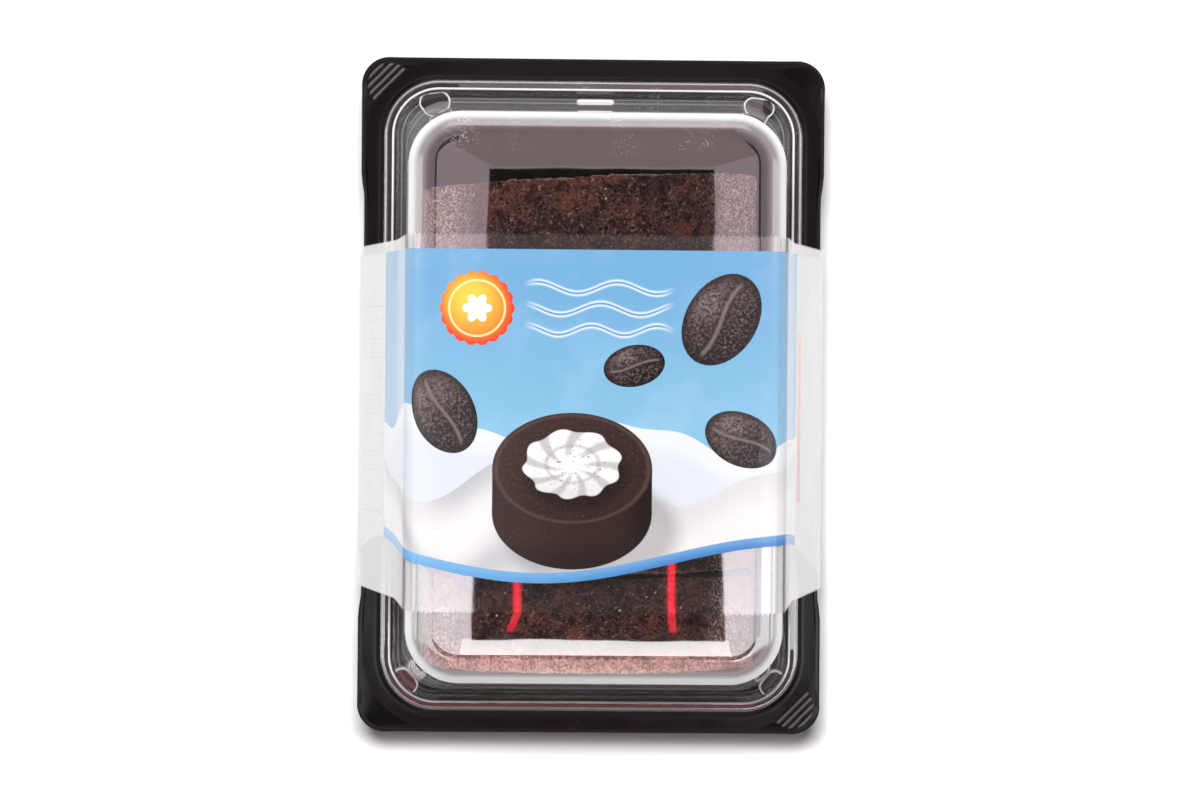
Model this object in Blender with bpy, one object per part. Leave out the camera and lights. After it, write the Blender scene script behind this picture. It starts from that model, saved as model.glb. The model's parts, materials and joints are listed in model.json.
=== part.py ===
"""A shut retail pack of sliced swiss roll: black tray, clear domed lid, printed film band and five slices.

Lengths are in metres. The pack lies on its tray: X runs across it, Y along the roll, and Z up from the
surface that it stands on. The origin is under the middle of the tray, level with the bottoms of its feet.
"""

import math

import bmesh
import bpy
from mathutils import Vector
from mathutils.geometry import tessellate_polygon

# Whole pack
PACK_WIDTH = 0.1065
PACK_LENGTH = 0.1551
DOME_TOP = 0.073
TRAY_WALL = 0.0006
LID_WALL = 0.0005
GAP = 0.0003
SMOOTH_ANGLE = math.radians(35)

# Plan outline of the flange: a rounded rectangle, its long sides drawn in between the corner tabs
OUTER_CORNER = 0.0064
BEAD_CORNER = 0.012
BEAD_INSET = 0.0060
BASE_CORNER = 0.008
WAIST = 0.0007
WAIST_REACH = 0.045
TAB_REACH = 0.051
SHORT_WAIST_SHARE = 0.85
SHORT_TAB_SHARE = 0.95
TAB_LIFT = 0.0005
CORNER_STEPS = 6

# Section of the tray's upper face from the floor out to the skirt, as (inset from the outer edge, height)
TRAY_BASE_PATH = (
    (0.0171, 0.0016),
    (0.0158, 0.0016),
    (0.0150, 0.0020),
    (0.0146, 0.0030),
    (0.0105, 0.0124),
    (0.0100, 0.0128),
)
TRAY_BEAD_PATH = (
    (0.0079, 0.0129),
    (0.0074, 0.0135),
    (0.0073, 0.0185),
    (0.0070, 0.0190),
    (0.0063, 0.0190),
    (0.0059, 0.0187),
    (0.0043, 0.0171),
    (0.0038, 0.0170),
)
TRAY_RIM_PATH = ((0.0016, 0.0170), (0.0013, 0.0170))
TRAY_EDGE_PATH = ((0.0009, 0.0170), (0.0003, 0.0168), (0.0, 0.0163), (0.0, 0.0146))

# Feet under the tray's corners, which keep the band off the surface that the pack stands on
FOOT_X = 0.026
FOOT_Y = 0.0525
FOOT_HALF_LENGTH = 0.0050
FOOT_RADIUS = 0.0030
FOOT_SPREAD = 0.0006
FOOT_TOP = 0.0013
FOOT_STEPS = 6

# Grip ribs across two opposite corner tabs of the tray
GRIP_FIRST = 0.0003
GRIP_PITCH = 0.0014
GRIP_COUNT = 4
GRIP_REACH = 0.0049
GRIP_HALF_WIDTH = 0.00035
GRIP_HEIGHT = 0.0003
GRIP_ROOT = -0.0003

# Dome of the lid: half sizes across and along the pack
DOME_BASE_HALF = (0.0434, 0.0679)
DOME_BASE_HEIGHT = 0.0143
DOME_BASE_CORNER = 0.010
DOME_FOOT_DROP = 0.0003
DOME_SHOULDER_HALF = (0.0406, 0.0614)
DOME_SHOULDER_CORNER = 0.0115
DOME_FILLET = 0.006
DOME_FILLET_STEPS = 4

# Film band, pulled straight from the dome's shoulders over the tray's edges and under its floor
BAND_WIDTH = 0.0795
BAND_CENTRE_Y = -0.0052
BAND_WALL = 0.0004
BAND_LIP_RADIUS = 0.0008
BAND_SKIRT_RADIUS = 0.0004
BAND_KEEL_RADIUS = 0.002
BAND_KEEL_INSET = 0.0160
BAND_ARC_STEP = math.radians(15)

# Roll: its section is wider than tall, and flatter underneath
ROLL_WIDTH = 0.0752
ROLL_HEIGHT = 0.066
ROLL_CENTRE_X = -0.0008
ROLL_CENTRE_Z = TRAY_BASE_PATH[0][1] + GAP + ROLL_HEIGHT / 2
ROLL_UPPER_POWER = 2.15
ROLL_LOWER_POWER = 2.7
ROLL_OUTLINE_STEPS = 48
SEAM_ANGLE = math.radians(-75)
SEAM_NOTCH = 0.045
SEAM_SPREAD = math.radians(4)

# Each cut: where it crosses the roll's axis, and how far it leans across the roll and up it
CUTS = (
    (-0.0600, 0.004, 0.006),
    (-0.0383, 0.010, -0.004),
    (-0.0170, -0.006, 0.003),
    (0.0049, 0.008, 0.005),
    (0.0258, -0.004, -0.006),
    (0.0482, 0.050, 0.004),
)
CUT_GAP = 0.0004
SLICE_TWIST = math.radians(1.5)
SLICE_SHIFTS = (0.0, 0.0003, -0.0002, 0.0002, -0.0003)

# Inner face of the sponge as it winds in from the seam, then the outer face of the tongue that it ends in,
# as (degrees past the seam, share of the roll's radius)
WINDING = (
    (0, 0.735),
    (32, 0.68),
    (62, 0.65),
    (107, 0.655),
    (152, 0.625),
    (192, 0.60),
    (227, 0.645),
    (252, 0.675),
    (280, 0.60),
    (307, 0.52),
    (337, 0.485),
    (367, 0.39),
    (412, 0.28),
    (442, 0.225),
    (467, 0.195),
    (497, 0.195),
    (517, 0.24),
    (530, 0.32),
    (538, 0.41),
)
TONGUE = (
    (0, 0.70),
    (22, 0.635),
    (42, 0.565),
    (77, 0.48),
    (119, 0.435),
    (152, 0.44),
    (170, 0.475),
    (178, 0.48),
)
CREAM_STEP = 11
CREAM_CLEARANCE = 0.0002
CREAM_END_CLEARANCE = 1.6


def new_material(name, colour, roughness, alpha=1.0):
    material = bpy.data.materials.new(name)
    material.use_nodes = True
    shader = material.node_tree.nodes["Principled BSDF"]
    shader.inputs["Base Color"].default_value = (*colour, 1.0)
    shader.inputs["Roughness"].default_value = roughness
    shader.inputs["Metallic"].default_value = 0.0
    shader.inputs["Alpha"].default_value = alpha
    return material


def add_object(name, built, material):
    """Turns a finished bmesh into a named object with outward faces."""
    bmesh.ops.recalc_face_normals(built, faces=built.faces)
    mesh = bpy.data.meshes.new(name)
    built.to_mesh(mesh)
    built.free()
    mesh.shade_smooth()
    mesh.set_sharp_from_angle(angle=SMOOTH_ANGLE)
    mesh.materials.append(material)
    made = bpy.data.objects.new(name, mesh)
    bpy.context.scene.collection.objects.link(made)
    return made


def ring(half_x, half_y, corner, height, waist=0.0, lift=0.0):
    """One level outline, anticlockwise: four corner arcs, and four points on each long side for its waist.

    waist draws the middle of the long sides in, and lift raises the corner arcs. On an outline too short for
    the waist's full reach, its points keep to their shares of the straight side.
    """
    straight = half_y - corner
    tab = min(TAB_REACH, SHORT_TAB_SHARE * straight)
    dip = min(WAIST_REACH, SHORT_WAIST_SHARE * straight)
    points = []
    for quarter in range(4):
        side = 1 if quarter in (0, 3) else -1
        end = 1 if quarter in (0, 1) else -1
        if quarter in (0, 2):
            for y, drawn_in in ((-tab, 0.0), (-dip, waist), (dip, waist), (tab, 0.0)):
                points.append(Vector((side * (half_x - drawn_in), side * y, height)))
        for step in range(CORNER_STEPS + 1):
            angle = (quarter + step / CORNER_STEPS) * math.pi / 2
            x = side * (half_x - corner) + corner * math.cos(angle)
            y = end * straight + corner * math.sin(angle)
            points.append(Vector((x, y, height + lift)))
    return points


def bead_ring(inset, height, waist=0.0):
    """A ring that runs round with the bead, so that its corner is wider than the tray's own."""
    corner = max(BASE_CORNER, BEAD_CORNER + BEAD_INSET - inset)
    return ring(PACK_WIDTH / 2 - inset, PACK_LENGTH / 2 - inset, corner, height, waist)


def edge_ring(inset, height):
    """A ring that runs round with the tray's outer edge, and rises at the corner tabs."""
    corner = OUTER_CORNER - inset
    return ring(PACK_WIDTH / 2 - inset, PACK_LENGTH / 2 - inset, corner, height, WAIST, TAB_LIFT)


def parallel(path, distance):
    """The path moved sideways, to the left of its own direction, with its corners mitred."""
    points = [Vector(point) for point in path]
    headings = [(after - before).normalized() for before, after in zip(points, points[1:])]
    moved = []
    for i, here in enumerate(points):
        arriving = headings[max(i - 1, 0)]
        leaving = headings[min(i, len(headings) - 1)]
        along = (arriving + leaving).normalized()
        sideways = Vector((-along.y, along.x))
        moved.append(here + sideways * distance / sideways.dot(Vector((-leaving.y, leaving.x))))
    return moved


def loft(rows):
    """A closed bmesh through rings of equal count, with a flat face over the first and over the last."""
    built = bmesh.new()
    levels = [[built.verts.new(point) for point in row] for row in rows]
    for lower, upper in zip(levels, levels[1:]):
        for i in range(len(lower)):
            j = (i + 1) % len(lower)
            built.faces.new((lower[i], lower[j], upper[j], upper[i]))
    built.faces.new(levels[0])
    built.faces.new(levels[-1])
    return built


def prism(built, first, last):
    """Adds a body between two outlines of equal count."""
    starts = [built.verts.new(point) for point in first]
    ends = [built.verts.new(point) for point in last]
    for i in range(len(starts)):
        j = (i + 1) % len(starts)
        built.faces.new((starts[i], starts[j], ends[j], ends[i]))
    built.faces.new(starts)
    built.faces.new(ends)


def tray_rings(path):
    """Rings for a path that matches the tray's upper face point for point."""
    bead_end = len(TRAY_BASE_PATH) + len(TRAY_BEAD_PATH)
    rim_end = bead_end + len(TRAY_RIM_PATH)
    rings = [bead_ring(inset, height) for inset, height in path[:bead_end]]
    rings += [bead_ring(inset, height, WAIST) for inset, height in path[bead_end:rim_end]]
    rings += [edge_ring(inset, height) for inset, height in path[rim_end:]]
    return rings


def foot_outline(x, y, radius, height):
    """A stadium that is longer across the pack."""
    points = []
    for end in (1, -1):
        for step in range(FOOT_STEPS + 1):
            angle = (step / FOOT_STEPS - end / 2) * math.pi
            px = x + end * FOOT_HALF_LENGTH + radius * math.cos(angle)
            points.append((px, y + radius * math.sin(angle), height))
    return points


def add_grip_rib(built, side, distance):
    """A low roof-shaped rib across a corner tab, at a distance out along the corner's diagonal."""
    outward = Vector((-side, side, 0)).normalized()
    across = Vector((side, side, 0)).normalized()
    corner_x = -side * (PACK_WIDTH / 2 - OUTER_CORNER)
    corner_y = side * (PACK_LENGTH / 2 - OUTER_CORNER)
    edge_inset, edge_height = TRAY_EDGE_PATH[0]
    height = edge_height + TAB_LIFT * distance / (OUTER_CORNER - edge_inset)
    middle = Vector((corner_x, corner_y, height)) + outward * distance
    half_length = math.sqrt(GRIP_REACH**2 - distance**2)
    section = ((-GRIP_HALF_WIDTH, GRIP_ROOT), (GRIP_HALF_WIDTH, GRIP_ROOT), (0.0, GRIP_HEIGHT))
    ends = []
    for end in (-1, 1):
        place = middle + across * end * half_length
        ends.append([place + outward * shift + Vector((0, 0, rise)) for shift, rise in section])
    prism(built, *ends)


def make_tray(material):
    upper = TRAY_BASE_PATH + TRAY_BEAD_PATH + TRAY_RIM_PATH + TRAY_EDGE_PATH
    lower = parallel(upper, TRAY_WALL)
    tray = add_object("tray", loft(tray_rings(upper) + tray_rings(lower)[::-1]), material)
    extras = bmesh.new()
    for x in (-FOOT_X, FOOT_X):
        for y in (-FOOT_Y, FOOT_Y):
            top = foot_outline(x, y, FOOT_RADIUS + FOOT_SPREAD, FOOT_TOP)
            prism(extras, top, foot_outline(x, y, FOOT_RADIUS, 0.0))
    for side in (-1, 1):
        for i in range(GRIP_COUNT):
            add_grip_rib(extras, side, GRIP_FIRST + i * GRIP_PITCH)
    helper = add_object("feet_and_grips", extras, material)
    helper.hide_render = True
    helper.display_type = "WIRE"
    joined = tray.modifiers.new("Feet and grips", "BOOLEAN")
    joined.operation = "UNION"
    joined.object = helper


def dome_rings(wall):
    """Rings of the dome's outer face, or of a face one wall inside it, from the foot to the flat top."""
    foot_x, foot_y = (half - wall for half in DOME_BASE_HALF)
    drop = DOME_FOOT_DROP if wall else 0.0
    rings = [ring(foot_x, foot_y, DOME_BASE_CORNER - wall, DOME_BASE_HEIGHT - drop)]
    shoulder_x, shoulder_y = DOME_SHOULDER_HALF
    for step in range(DOME_FILLET_STEPS + 1):
        angle = step / DOME_FILLET_STEPS * math.pi / 2
        inset = DOME_FILLET - (DOME_FILLET - wall) * math.cos(angle)
        height = DOME_TOP - DOME_FILLET + (DOME_FILLET - wall) * math.sin(angle)
        rings.append(ring(shoulder_x - inset, shoulder_y - inset, DOME_SHOULDER_CORNER - inset, height))
    return rings


def make_lid(material):
    """The lid sits over the tray's bead and plugs down inside it, then rises as a dome."""
    tray = TRAY_BASE_PATH + TRAY_BEAD_PATH + TRAY_RIM_PATH
    bead = slice(len(TRAY_BASE_PATH), len(TRAY_BASE_PATH) + len(TRAY_BEAD_PATH))
    under = [bead_ring(*point) for point in parallel(tray, -GAP)[bead]]
    over = [bead_ring(*point) for point in parallel(tray, -GAP - LID_WALL)[bead]]
    rows = dome_rings(0.0)[::-1] + over + under[::-1] + dome_rings(LID_WALL)
    add_object("lid", loft(rows), material)


def belt(circles, offset):
    """Outline of a taut belt round circles, which are (x, z, radius) anticlockwise, kept off them by offset."""
    turns = []
    for (x, z, radius), (next_x, next_z, next_radius) in zip(circles, circles[1:] + circles[:1]):
        heading = math.atan2(next_z - z, next_x - x)
        lean = math.asin((radius - next_radius) / math.hypot(next_x - x, next_z - z))
        turns.append(heading - math.pi / 2 + lean)
    points = []
    for i, (x, z, radius) in enumerate(circles):
        turn = (turns[i] - turns[i - 1]) % (2 * math.pi)
        steps = math.ceil(turn / BAND_ARC_STEP)
        for step in range(steps + 1):
            angle = turns[i - 1] + turn * step / steps
            reach = radius + offset
            points.append((x + reach * math.cos(angle), z + reach * math.sin(angle)))
    return points


def make_band(material):
    half = PACK_WIDTH / 2 - WAIST
    under = TRAY_BASE_PATH[0][1] - TRAY_WALL
    keel = (PACK_WIDTH / 2 - BAND_KEEL_INSET, under + BAND_KEEL_RADIUS, BAND_KEEL_RADIUS)
    skirt = (half - BAND_SKIRT_RADIUS, TRAY_EDGE_PATH[-1][1] + BAND_SKIRT_RADIUS, BAND_SKIRT_RADIUS)
    lip = (half - BAND_LIP_RADIUS, TRAY_EDGE_PATH[0][1] - BAND_LIP_RADIUS, BAND_LIP_RADIUS)
    dome = (DOME_SHOULDER_HALF[0] - DOME_FILLET, DOME_TOP - DOME_FILLET, DOME_FILLET)
    right = [keel, skirt, lip, dome]
    circles = right + [(-x, z, radius) for x, z, radius in right[::-1]]
    inner, outer = (belt(circles, offset) for offset in (GAP, GAP + BAND_WALL))
    front = BAND_CENTRE_Y - BAND_WIDTH / 2
    back = BAND_CENTRE_Y + BAND_WIDTH / 2
    built = bmesh.new()
    rows = [
        [built.verts.new((x, y, z)) for x, z in outline]
        for outline, y in ((outer, front), (outer, back), (inner, back), (inner, front))
    ]
    for row, next_row in zip(rows, rows[1:] + rows[:1]):
        for i in range(len(row)):
            built.faces.new((row[i - 1], row[i], next_row[i], next_row[i - 1]))
    add_object("band", built, material)


def roll_radius(angle):
    """Distance from the roll's axis to its surface."""
    power = ROLL_UPPER_POWER if math.sin(angle) > 0 else ROLL_LOWER_POWER
    across = abs(math.cos(angle)) / (ROLL_WIDTH / 2)
    up = abs(math.sin(angle)) / (ROLL_HEIGHT / 2)
    return (across**power + up**power) ** (-1 / power)


def smooth_value(knots, place):
    """Height of a smooth curve through (place, value) knots."""
    last = len(knots) - 2
    i = min(sum(knot <= place for knot, _ in knots[1:]), last)
    share = min(max((place - knots[i][0]) / (knots[i + 1][0] - knots[i][0]), 0.0), 1.0)

    def slope(k):
        before, after = knots[max(k - 1, 0)], knots[min(k + 1, last + 1)]
        return (after[1] - before[1]) / (after[0] - before[0])

    span = knots[i + 1][0] - knots[i][0]
    start, end = knots[i][1], knots[i + 1][1]
    rise = end - start
    bend = slope(i) * span
    finish = slope(i + 1) * span
    square = 3 * rise - 2 * bend - finish
    cube = bend + finish - 2 * rise
    return start + share * (bend + share * (square + share * cube))


def spread(start, end):
    """Evenly spaced values from start to end, about CREAM_STEP apart."""
    count = round(abs(end - start) / CREAM_STEP)
    return [start + (end - start) * i / count for i in range(count + 1)]


def section_point(angle, distance, shift):
    """A point of the roll's section as (x, z, 0), at an angle and a distance from the roll's axis."""
    x = ROLL_CENTRE_X + shift + distance * math.cos(angle)
    return Vector((x, ROLL_CENTRE_Z + distance * math.sin(angle), 0.0))


def sponge_outline(seam, shift):
    """The roll's outer face, nicked where the strip of sponge ends."""
    points = []
    for step in range(ROLL_OUTLINE_STEPS):
        turned = (step / ROLL_OUTLINE_STEPS) * 2 * math.pi
        off_seam = min(turned, 2 * math.pi - turned)
        share = 1 - SEAM_NOTCH * math.exp(-((off_seam / SEAM_SPREAD) ** 2))
        angle = seam + turned
        points.append(section_point(angle, share * roll_radius(angle), shift))
    return points


def cream_outline(seam, shift, clearance, end_clearance):
    """The cream's outline: in along the sponge's inner face, round the tongue's tip and back to the tail.

    clearance draws it away from the sponge, and end_clearance, in degrees, away from the tail and the tip.
    """
    points = []
    for degrees in spread(WINDING[0][0] + end_clearance, WINDING[-1][0] + end_clearance):
        angle = seam + math.radians(degrees)
        distance = smooth_value(WINDING, degrees) * roll_radius(angle) - clearance
        points.append(section_point(angle, distance, shift))
    for degrees in spread(TONGUE[-1][0] + end_clearance, TONGUE[0][0] + end_clearance):
        angle = seam + math.radians(degrees)
        distance = smooth_value(TONGUE, degrees) * roll_radius(angle) + clearance
        points.append(section_point(angle, distance, shift))
    return points


def slab(outlines, near_cut, far_cut):
    """A body with the outlines as its section, the later ones holes, between two leaning cuts."""
    built = bmesh.new()
    corners = [point for outline in outlines for point in outline]
    sides = []
    for (place, across, up), inward in ((near_cut, 1), (far_cut, -1)):
        level = place + inward * CUT_GAP / 2
        side = [(x, level + across * x + up * (z - ROLL_CENTRE_Z), z) for x, z, _ in corners]
        sides.append([built.verts.new(point) for point in side])
    for triangle in tessellate_polygon(outlines):
        for side in sides:
            built.faces.new([side[i] for i in triangle])
    near, far = sides
    first = 0
    for outline in outlines:
        for i in range(len(outline)):
            a = first + i
            b = first + (i + 1) % len(outline)
            built.faces.new((near[a], near[b], far[b], far[a]))
        first += len(outline)
    return built


def make_slices(sponge, cream):
    for i, (near_cut, far_cut) in enumerate(zip(CUTS, CUTS[1:])):
        seam = SEAM_ANGLE + i * SLICE_TWIST
        shift = SLICE_SHIFTS[i]
        filling = cream_outline(seam, shift, CREAM_CLEARANCE, CREAM_END_CLEARANCE)
        hollow = cream_outline(seam, shift, -CREAM_CLEARANCE, 0.0)
        add_object(f"sponge_{i + 1}", slab([sponge_outline(seam, shift), hollow], near_cut, far_cut), sponge)
        add_object(f"cream_{i + 1}", slab([filling], near_cut, far_cut), cream)


def main():
    for old in list(bpy.data.objects):
        bpy.data.objects.remove(old)
    make_tray(new_material("black tray plastic", (0.012, 0.012, 0.013), 0.22))
    make_lid(new_material("clear lid plastic", (0.90, 0.92, 0.93), 0.08, alpha=0.3))
    make_band(new_material("printed film", (0.55, 0.72, 0.88), 0.30))
    sponge = new_material("cocoa sponge", (0.042, 0.022, 0.017), 0.9)
    make_slices(sponge, new_material("white cream", (0.84, 0.82, 0.77), 0.55))


main()
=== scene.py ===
"""Looks of a shut retail pack of sliced cocoa swiss roll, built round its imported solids.

Lengths are in metres, in the frame of the solids: X runs across the pack, Y along the roll, Z up from the
surface that the tray stands on. Colours are linear.
"""

import json
import math

import bmesh
import bpy
import numpy as np
from mathutils import Matrix, Vector
from mathutils.geometry import tessellate_polygon

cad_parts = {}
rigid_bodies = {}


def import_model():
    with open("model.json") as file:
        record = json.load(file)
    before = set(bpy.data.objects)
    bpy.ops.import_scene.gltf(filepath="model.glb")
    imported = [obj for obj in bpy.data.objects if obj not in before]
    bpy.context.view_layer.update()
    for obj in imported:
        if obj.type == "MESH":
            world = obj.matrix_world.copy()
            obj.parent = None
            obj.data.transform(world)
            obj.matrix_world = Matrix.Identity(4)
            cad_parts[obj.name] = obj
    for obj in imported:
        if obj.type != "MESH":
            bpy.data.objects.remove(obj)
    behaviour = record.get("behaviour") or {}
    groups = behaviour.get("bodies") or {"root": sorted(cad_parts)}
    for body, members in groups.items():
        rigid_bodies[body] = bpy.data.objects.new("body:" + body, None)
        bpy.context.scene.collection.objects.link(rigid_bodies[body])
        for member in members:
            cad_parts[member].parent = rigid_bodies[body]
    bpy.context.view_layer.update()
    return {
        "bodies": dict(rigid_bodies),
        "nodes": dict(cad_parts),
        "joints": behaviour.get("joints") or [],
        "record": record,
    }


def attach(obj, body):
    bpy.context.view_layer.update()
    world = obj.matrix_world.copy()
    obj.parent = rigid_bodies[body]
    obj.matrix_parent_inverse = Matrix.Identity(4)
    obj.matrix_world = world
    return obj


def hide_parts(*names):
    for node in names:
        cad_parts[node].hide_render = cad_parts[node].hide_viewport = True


# Whole pack, as in the solids
PACK_WIDTH = 0.1065
PACK_LENGTH = 0.1551
DOME_TOP = 0.073
TRAY_WALL = 0.0006
LID_WALL = 0.0005
GAP = 0.0003
SMOOTH_ANGLE = math.radians(40)

# Plan outline of the flange
OUTER_CORNER = 0.0064
BEAD_CORNER = 0.012
BEAD_INSET = 0.0060
BASE_CORNER = 0.008
WAIST = 0.0007
WAIST_REACH = 0.045
TAB_REACH = 0.051
TAB_LIFT = 0.0005

# Points of a fine plan outline: round each corner, and along the long and the short sides
CORNER_STEPS = 44
LONG_STEPS = 56
SHORT_STEPS = 26
SLOT_STEPS = 30
SLOT_SHARE = 0.2

# Section of the tray's upper face from the floor out to the skirt, as (inset from the outer edge, height)
TRAY_BASE_PATH = (
    (0.0171, 0.0016), (0.0158, 0.0016), (0.0150, 0.0020), (0.0146, 0.0030), (0.0105, 0.0124), (0.0100, 0.0128),
)
TRAY_BEAD_PATH = (
    (0.0079, 0.0129), (0.0074, 0.0135), (0.0073, 0.0185), (0.0070, 0.0190),
    (0.0063, 0.0190), (0.0059, 0.0187), (0.0043, 0.0171), (0.0038, 0.0170),
)
TRAY_RIM_PATH = ((0.0016, 0.0170), (0.0013, 0.0170))
TRAY_EDGE_PATH = ((0.0009, 0.0170), (0.0003, 0.0168), (0.0, 0.0163), (0.0, 0.0146))
LID_BEAD_POINTS = 6
PATH_ROUNDING = 0.00022
ROUNDING_STEPS = 4
TAB_ROWS = 26

# Feet of the tray
FOOT_X = 0.026
FOOT_Y = 0.0525
FOOT_HALF_LENGTH = 0.0050
FOOT_RADIUS = 0.0030
FOOT_SPREAD = 0.0006
FOOT_TOP = 0.0013
FOOT_STEPS = 16

# Grip ribs across two opposite corner tabs of the tray
GRIP_FIRST = 0.0003
GRIP_PITCH = 0.0014
GRIP_COUNT = 4
GRIP_REACH = 0.0049
GRIP_HALF_WIDTH = 0.00045
GRIP_HEIGHT = 0.0004
GRIP_END = 0.0006

# Dome of the lid: half sizes across and along the pack
DOME_BASE_HALF = (0.0434, 0.0679)
DOME_BASE_HEIGHT = 0.0143
DOME_BASE_CORNER = 0.010
DOME_FOOT_DROP = 0.0003
DOME_SHOULDER_HALF = (0.0406, 0.0614)
DOME_SHOULDER_CORNER = 0.0115
DOME_FILLET = 0.006
DOME_FILLET_STEPS = 16
FLAT_STEPS = (0.0024, 0.0008)
WALL_ROWS = 10
WALL_CROWDING = 1.7
CHANNEL_ROWS = 14
CHANNEL_STEP = 0.00028

# Oval bosses at the corners of the lid's channel and a long one at its end: (x, y, half length, radius, turn in
# degrees, height of the top)
LUGS = (
    (-0.0365, 0.0673, 0.0014, 0.0022, 8, 0.0180),
    (0.0380, 0.0667, 0.0014, 0.0022, -8, 0.0180),
    (-0.0421, -0.0656, 0.0012, 0.0021, -48, 0.0175),
    (0.0421, -0.0656, 0.0012, 0.0021, 48, 0.0175),
    (0.0004, 0.0676, 0.0036, 0.0009, 0, 0.0160),
)
LUG_BASE = 0.0139
LUG_EDGE = 0.00035
LUG_EDGE_STEPS = 6
LUG_STEPS = 25
# Width of the painted highlight line round each oval boss
LUG_HIGHLIGHT_LINE = 0.00018
LUG_NARROW = 0.0015

# Film band, pulled straight from the dome's shoulders over the tray's edges and under its floor. Its toothed ends
# bow out over the dome.
BAND_WIDTH = 0.0795
BAND_CENTRE_Y = -0.0052
BAND_OFFSET = 0.0007
FILM_WALL = 0.00012
BAND_LIP_RADIUS = 0.0008
BAND_SKIRT_RADIUS = 0.0004
BAND_KEEL_RADIUS = 0.002
BAND_KEEL_INSET = 0.0160
BELT_STEP = 0.0006
BAND_STEP = 0.00028
BAND_ROWS = 14
TOOTH_PITCH = 0.00112
TOOTH_DEPTH = 0.0006
BOW_HIGH = 0.0005
BOW_LOW = 0.0010
BOW_START = 0.058

# Roll
ROLL_WIDTH = 0.0752
ROLL_HEIGHT = 0.066
ROLL_CENTRE_X = -0.0008
ROLL_CENTRE_Z = TRAY_BASE_PATH[0][1] + GAP + ROLL_HEIGHT / 2
ROLL_UPPER_POWER = 2.15
ROLL_LOWER_POWER = 2.7
ROLL_OUTLINE_STEPS = 200
SEAM_ANGLE = math.radians(-75)
SEAM_NOTCH = 0.045
SEAM_SPREAD = math.radians(4)

# Each cut: where it crosses the roll's axis, and how far it leans across the roll and up it
CUTS = (
    (-0.0600, 0.004, 0.006), (-0.0383, 0.010, -0.004), (-0.0170, -0.006, 0.003),
    (0.0049, 0.008, 0.005), (0.0258, -0.004, -0.006), (0.0482, 0.050, 0.004),
)
CUT_GAP = 0.0007
SLICE_TWIST = math.radians(1.5)
SLICE_SHIFTS = (0.0, 0.0003, -0.0002, 0.0002, -0.0003)

# Inner face of the sponge as it winds in from the seam, then the outer face of the tongue that it ends in,
# as (degrees past the seam, share of the roll's radius)
WINDING = (
    (0, 0.735), (32, 0.68), (62, 0.65), (107, 0.655), (152, 0.625), (192, 0.60), (227, 0.645), (252, 0.675),
    (280, 0.60), (307, 0.52), (337, 0.485), (367, 0.39), (412, 0.28), (442, 0.225), (467, 0.195),
    (497, 0.195), (517, 0.24), (530, 0.32), (538, 0.41),
)
TONGUE = (
    (0, 0.70), (22, 0.635), (42, 0.565), (77, 0.48), (119, 0.435), (152, 0.44), (170, 0.475), (178, 0.48),
)
CREAM_STEP = 3
CREAM_CLEARANCE = 0.00008
CREAM_END_CLEARANCE = 1.0
CREAM_SINK = 0.0003
SPONGE_INSET = 0.0004

# Relief of the cake: size of the voxels, and displacements as (name, kind, size, strength, middle, settings)
SHOWN_VOXEL = 0.00048
HIDDEN_VOXEL = 0.0010
CREAM_VOXEL = 0.0007
SPONGE_RELIEF = (
    ("lie", "CLOUDS", 0.012, 0.0006, 0.5, {}),
    ("crumb", "CLOUDS", 0.0012, 0.0008, 0.5, {"noise_depth": 2}),
)
PORE_RELIEF = (("pores", "VORONOI", 0.0017, 0.0006, 0.75, {}),)
CREAM_RELIEF = (("whip", "CLOUDS", 0.0035, 0.0004, 0.5, {"noise_depth": 1}),)

# Clear plastic. Both faces of a sheet reflect alike, and its index gives the sum of the two on one face.
EDGE_BLUR = 0.00008
SHEET_IOR = 2.05
SHEET_MILK = (0.93, 0.91, 0.92)
SHEET_MIRROR = (0.98, 0.97, 0.98)
MILK_GLOW = 0.25
MILK_DULLING = 0.75
EDGE_MILK = 0.5
LID_TINT = (0.955, 0.965, 0.965)
LID_ROUGHNESS = 0.012
FILM_TINT = (0.95, 0.95, 0.95)
FILM_ROUGHNESS = 0.02

# How milky the lid is at its shoulders, bosses, foot, dust and channel, and the most that it comes to. Only the dust
# is the lid's own: the milk at the shoulders, round the bosses and at the foot is a painted highlight where the clear
# plastic shows bright reflections, and the milk in the channel is painted light that lightens it.
SHOULDER_HIGHLIGHT_MILK = 0.75
LUG_HIGHLIGHT_MILK = 0.9
FOOT_HIGHLIGHT_MILK = 0.8
DUST_MILK = 0.5
CHANNEL_PAINTED_LIGHT = 0.11
MOST_MILK = 0.95
# Painted highlights, as milky lines along the lid's bead and in its channel: (inset, half width, share)
BEAD_HIGHLIGHT_LINES = ((0.0058, 0.00013, 0.42), (0.0074, 0.00022, 0.95))
CHANNEL_HIGHLIGHT_LINE = (0.0092, 0.00013, 0.24)

# Black tray
TRAY_BLACK = (0.0036, 0.0031, 0.0034)
TRAY_DUST = (0.12, 0.10, 0.09)
# Colour of the painted highlight along the grip ribs' crests
TRAY_CREST_HIGHLIGHT = (0.150, 0.130, 0.135)

# Cocoa sponge and cream. The top of the near end is painted paler, as painted light.
LIT_NEAR_END_SPAN = (-0.0530, -0.0565)
CRUMB_DARK = (0.011, 0.0055, 0.0052)
CRUMB_BROWN = (0.096, 0.046, 0.041)
CRUMB_RED = (0.118, 0.040, 0.026)
CRUMB_SHADE = (0.012, 0.0075, 0.0075)
CRUMB_PATCH = (0.014, 0.0085, 0.0085)
# Pale crumb specks, partly the crumb's own tone and partly painted highlights on lit crumb tips; then the painted
# shade in the pores
CRUMB_PALE_AND_HIGHLIGHT = (0.41, 0.220, 0.193)
PORE_SHADE = (0.0058, 0.0032, 0.0032)
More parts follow.
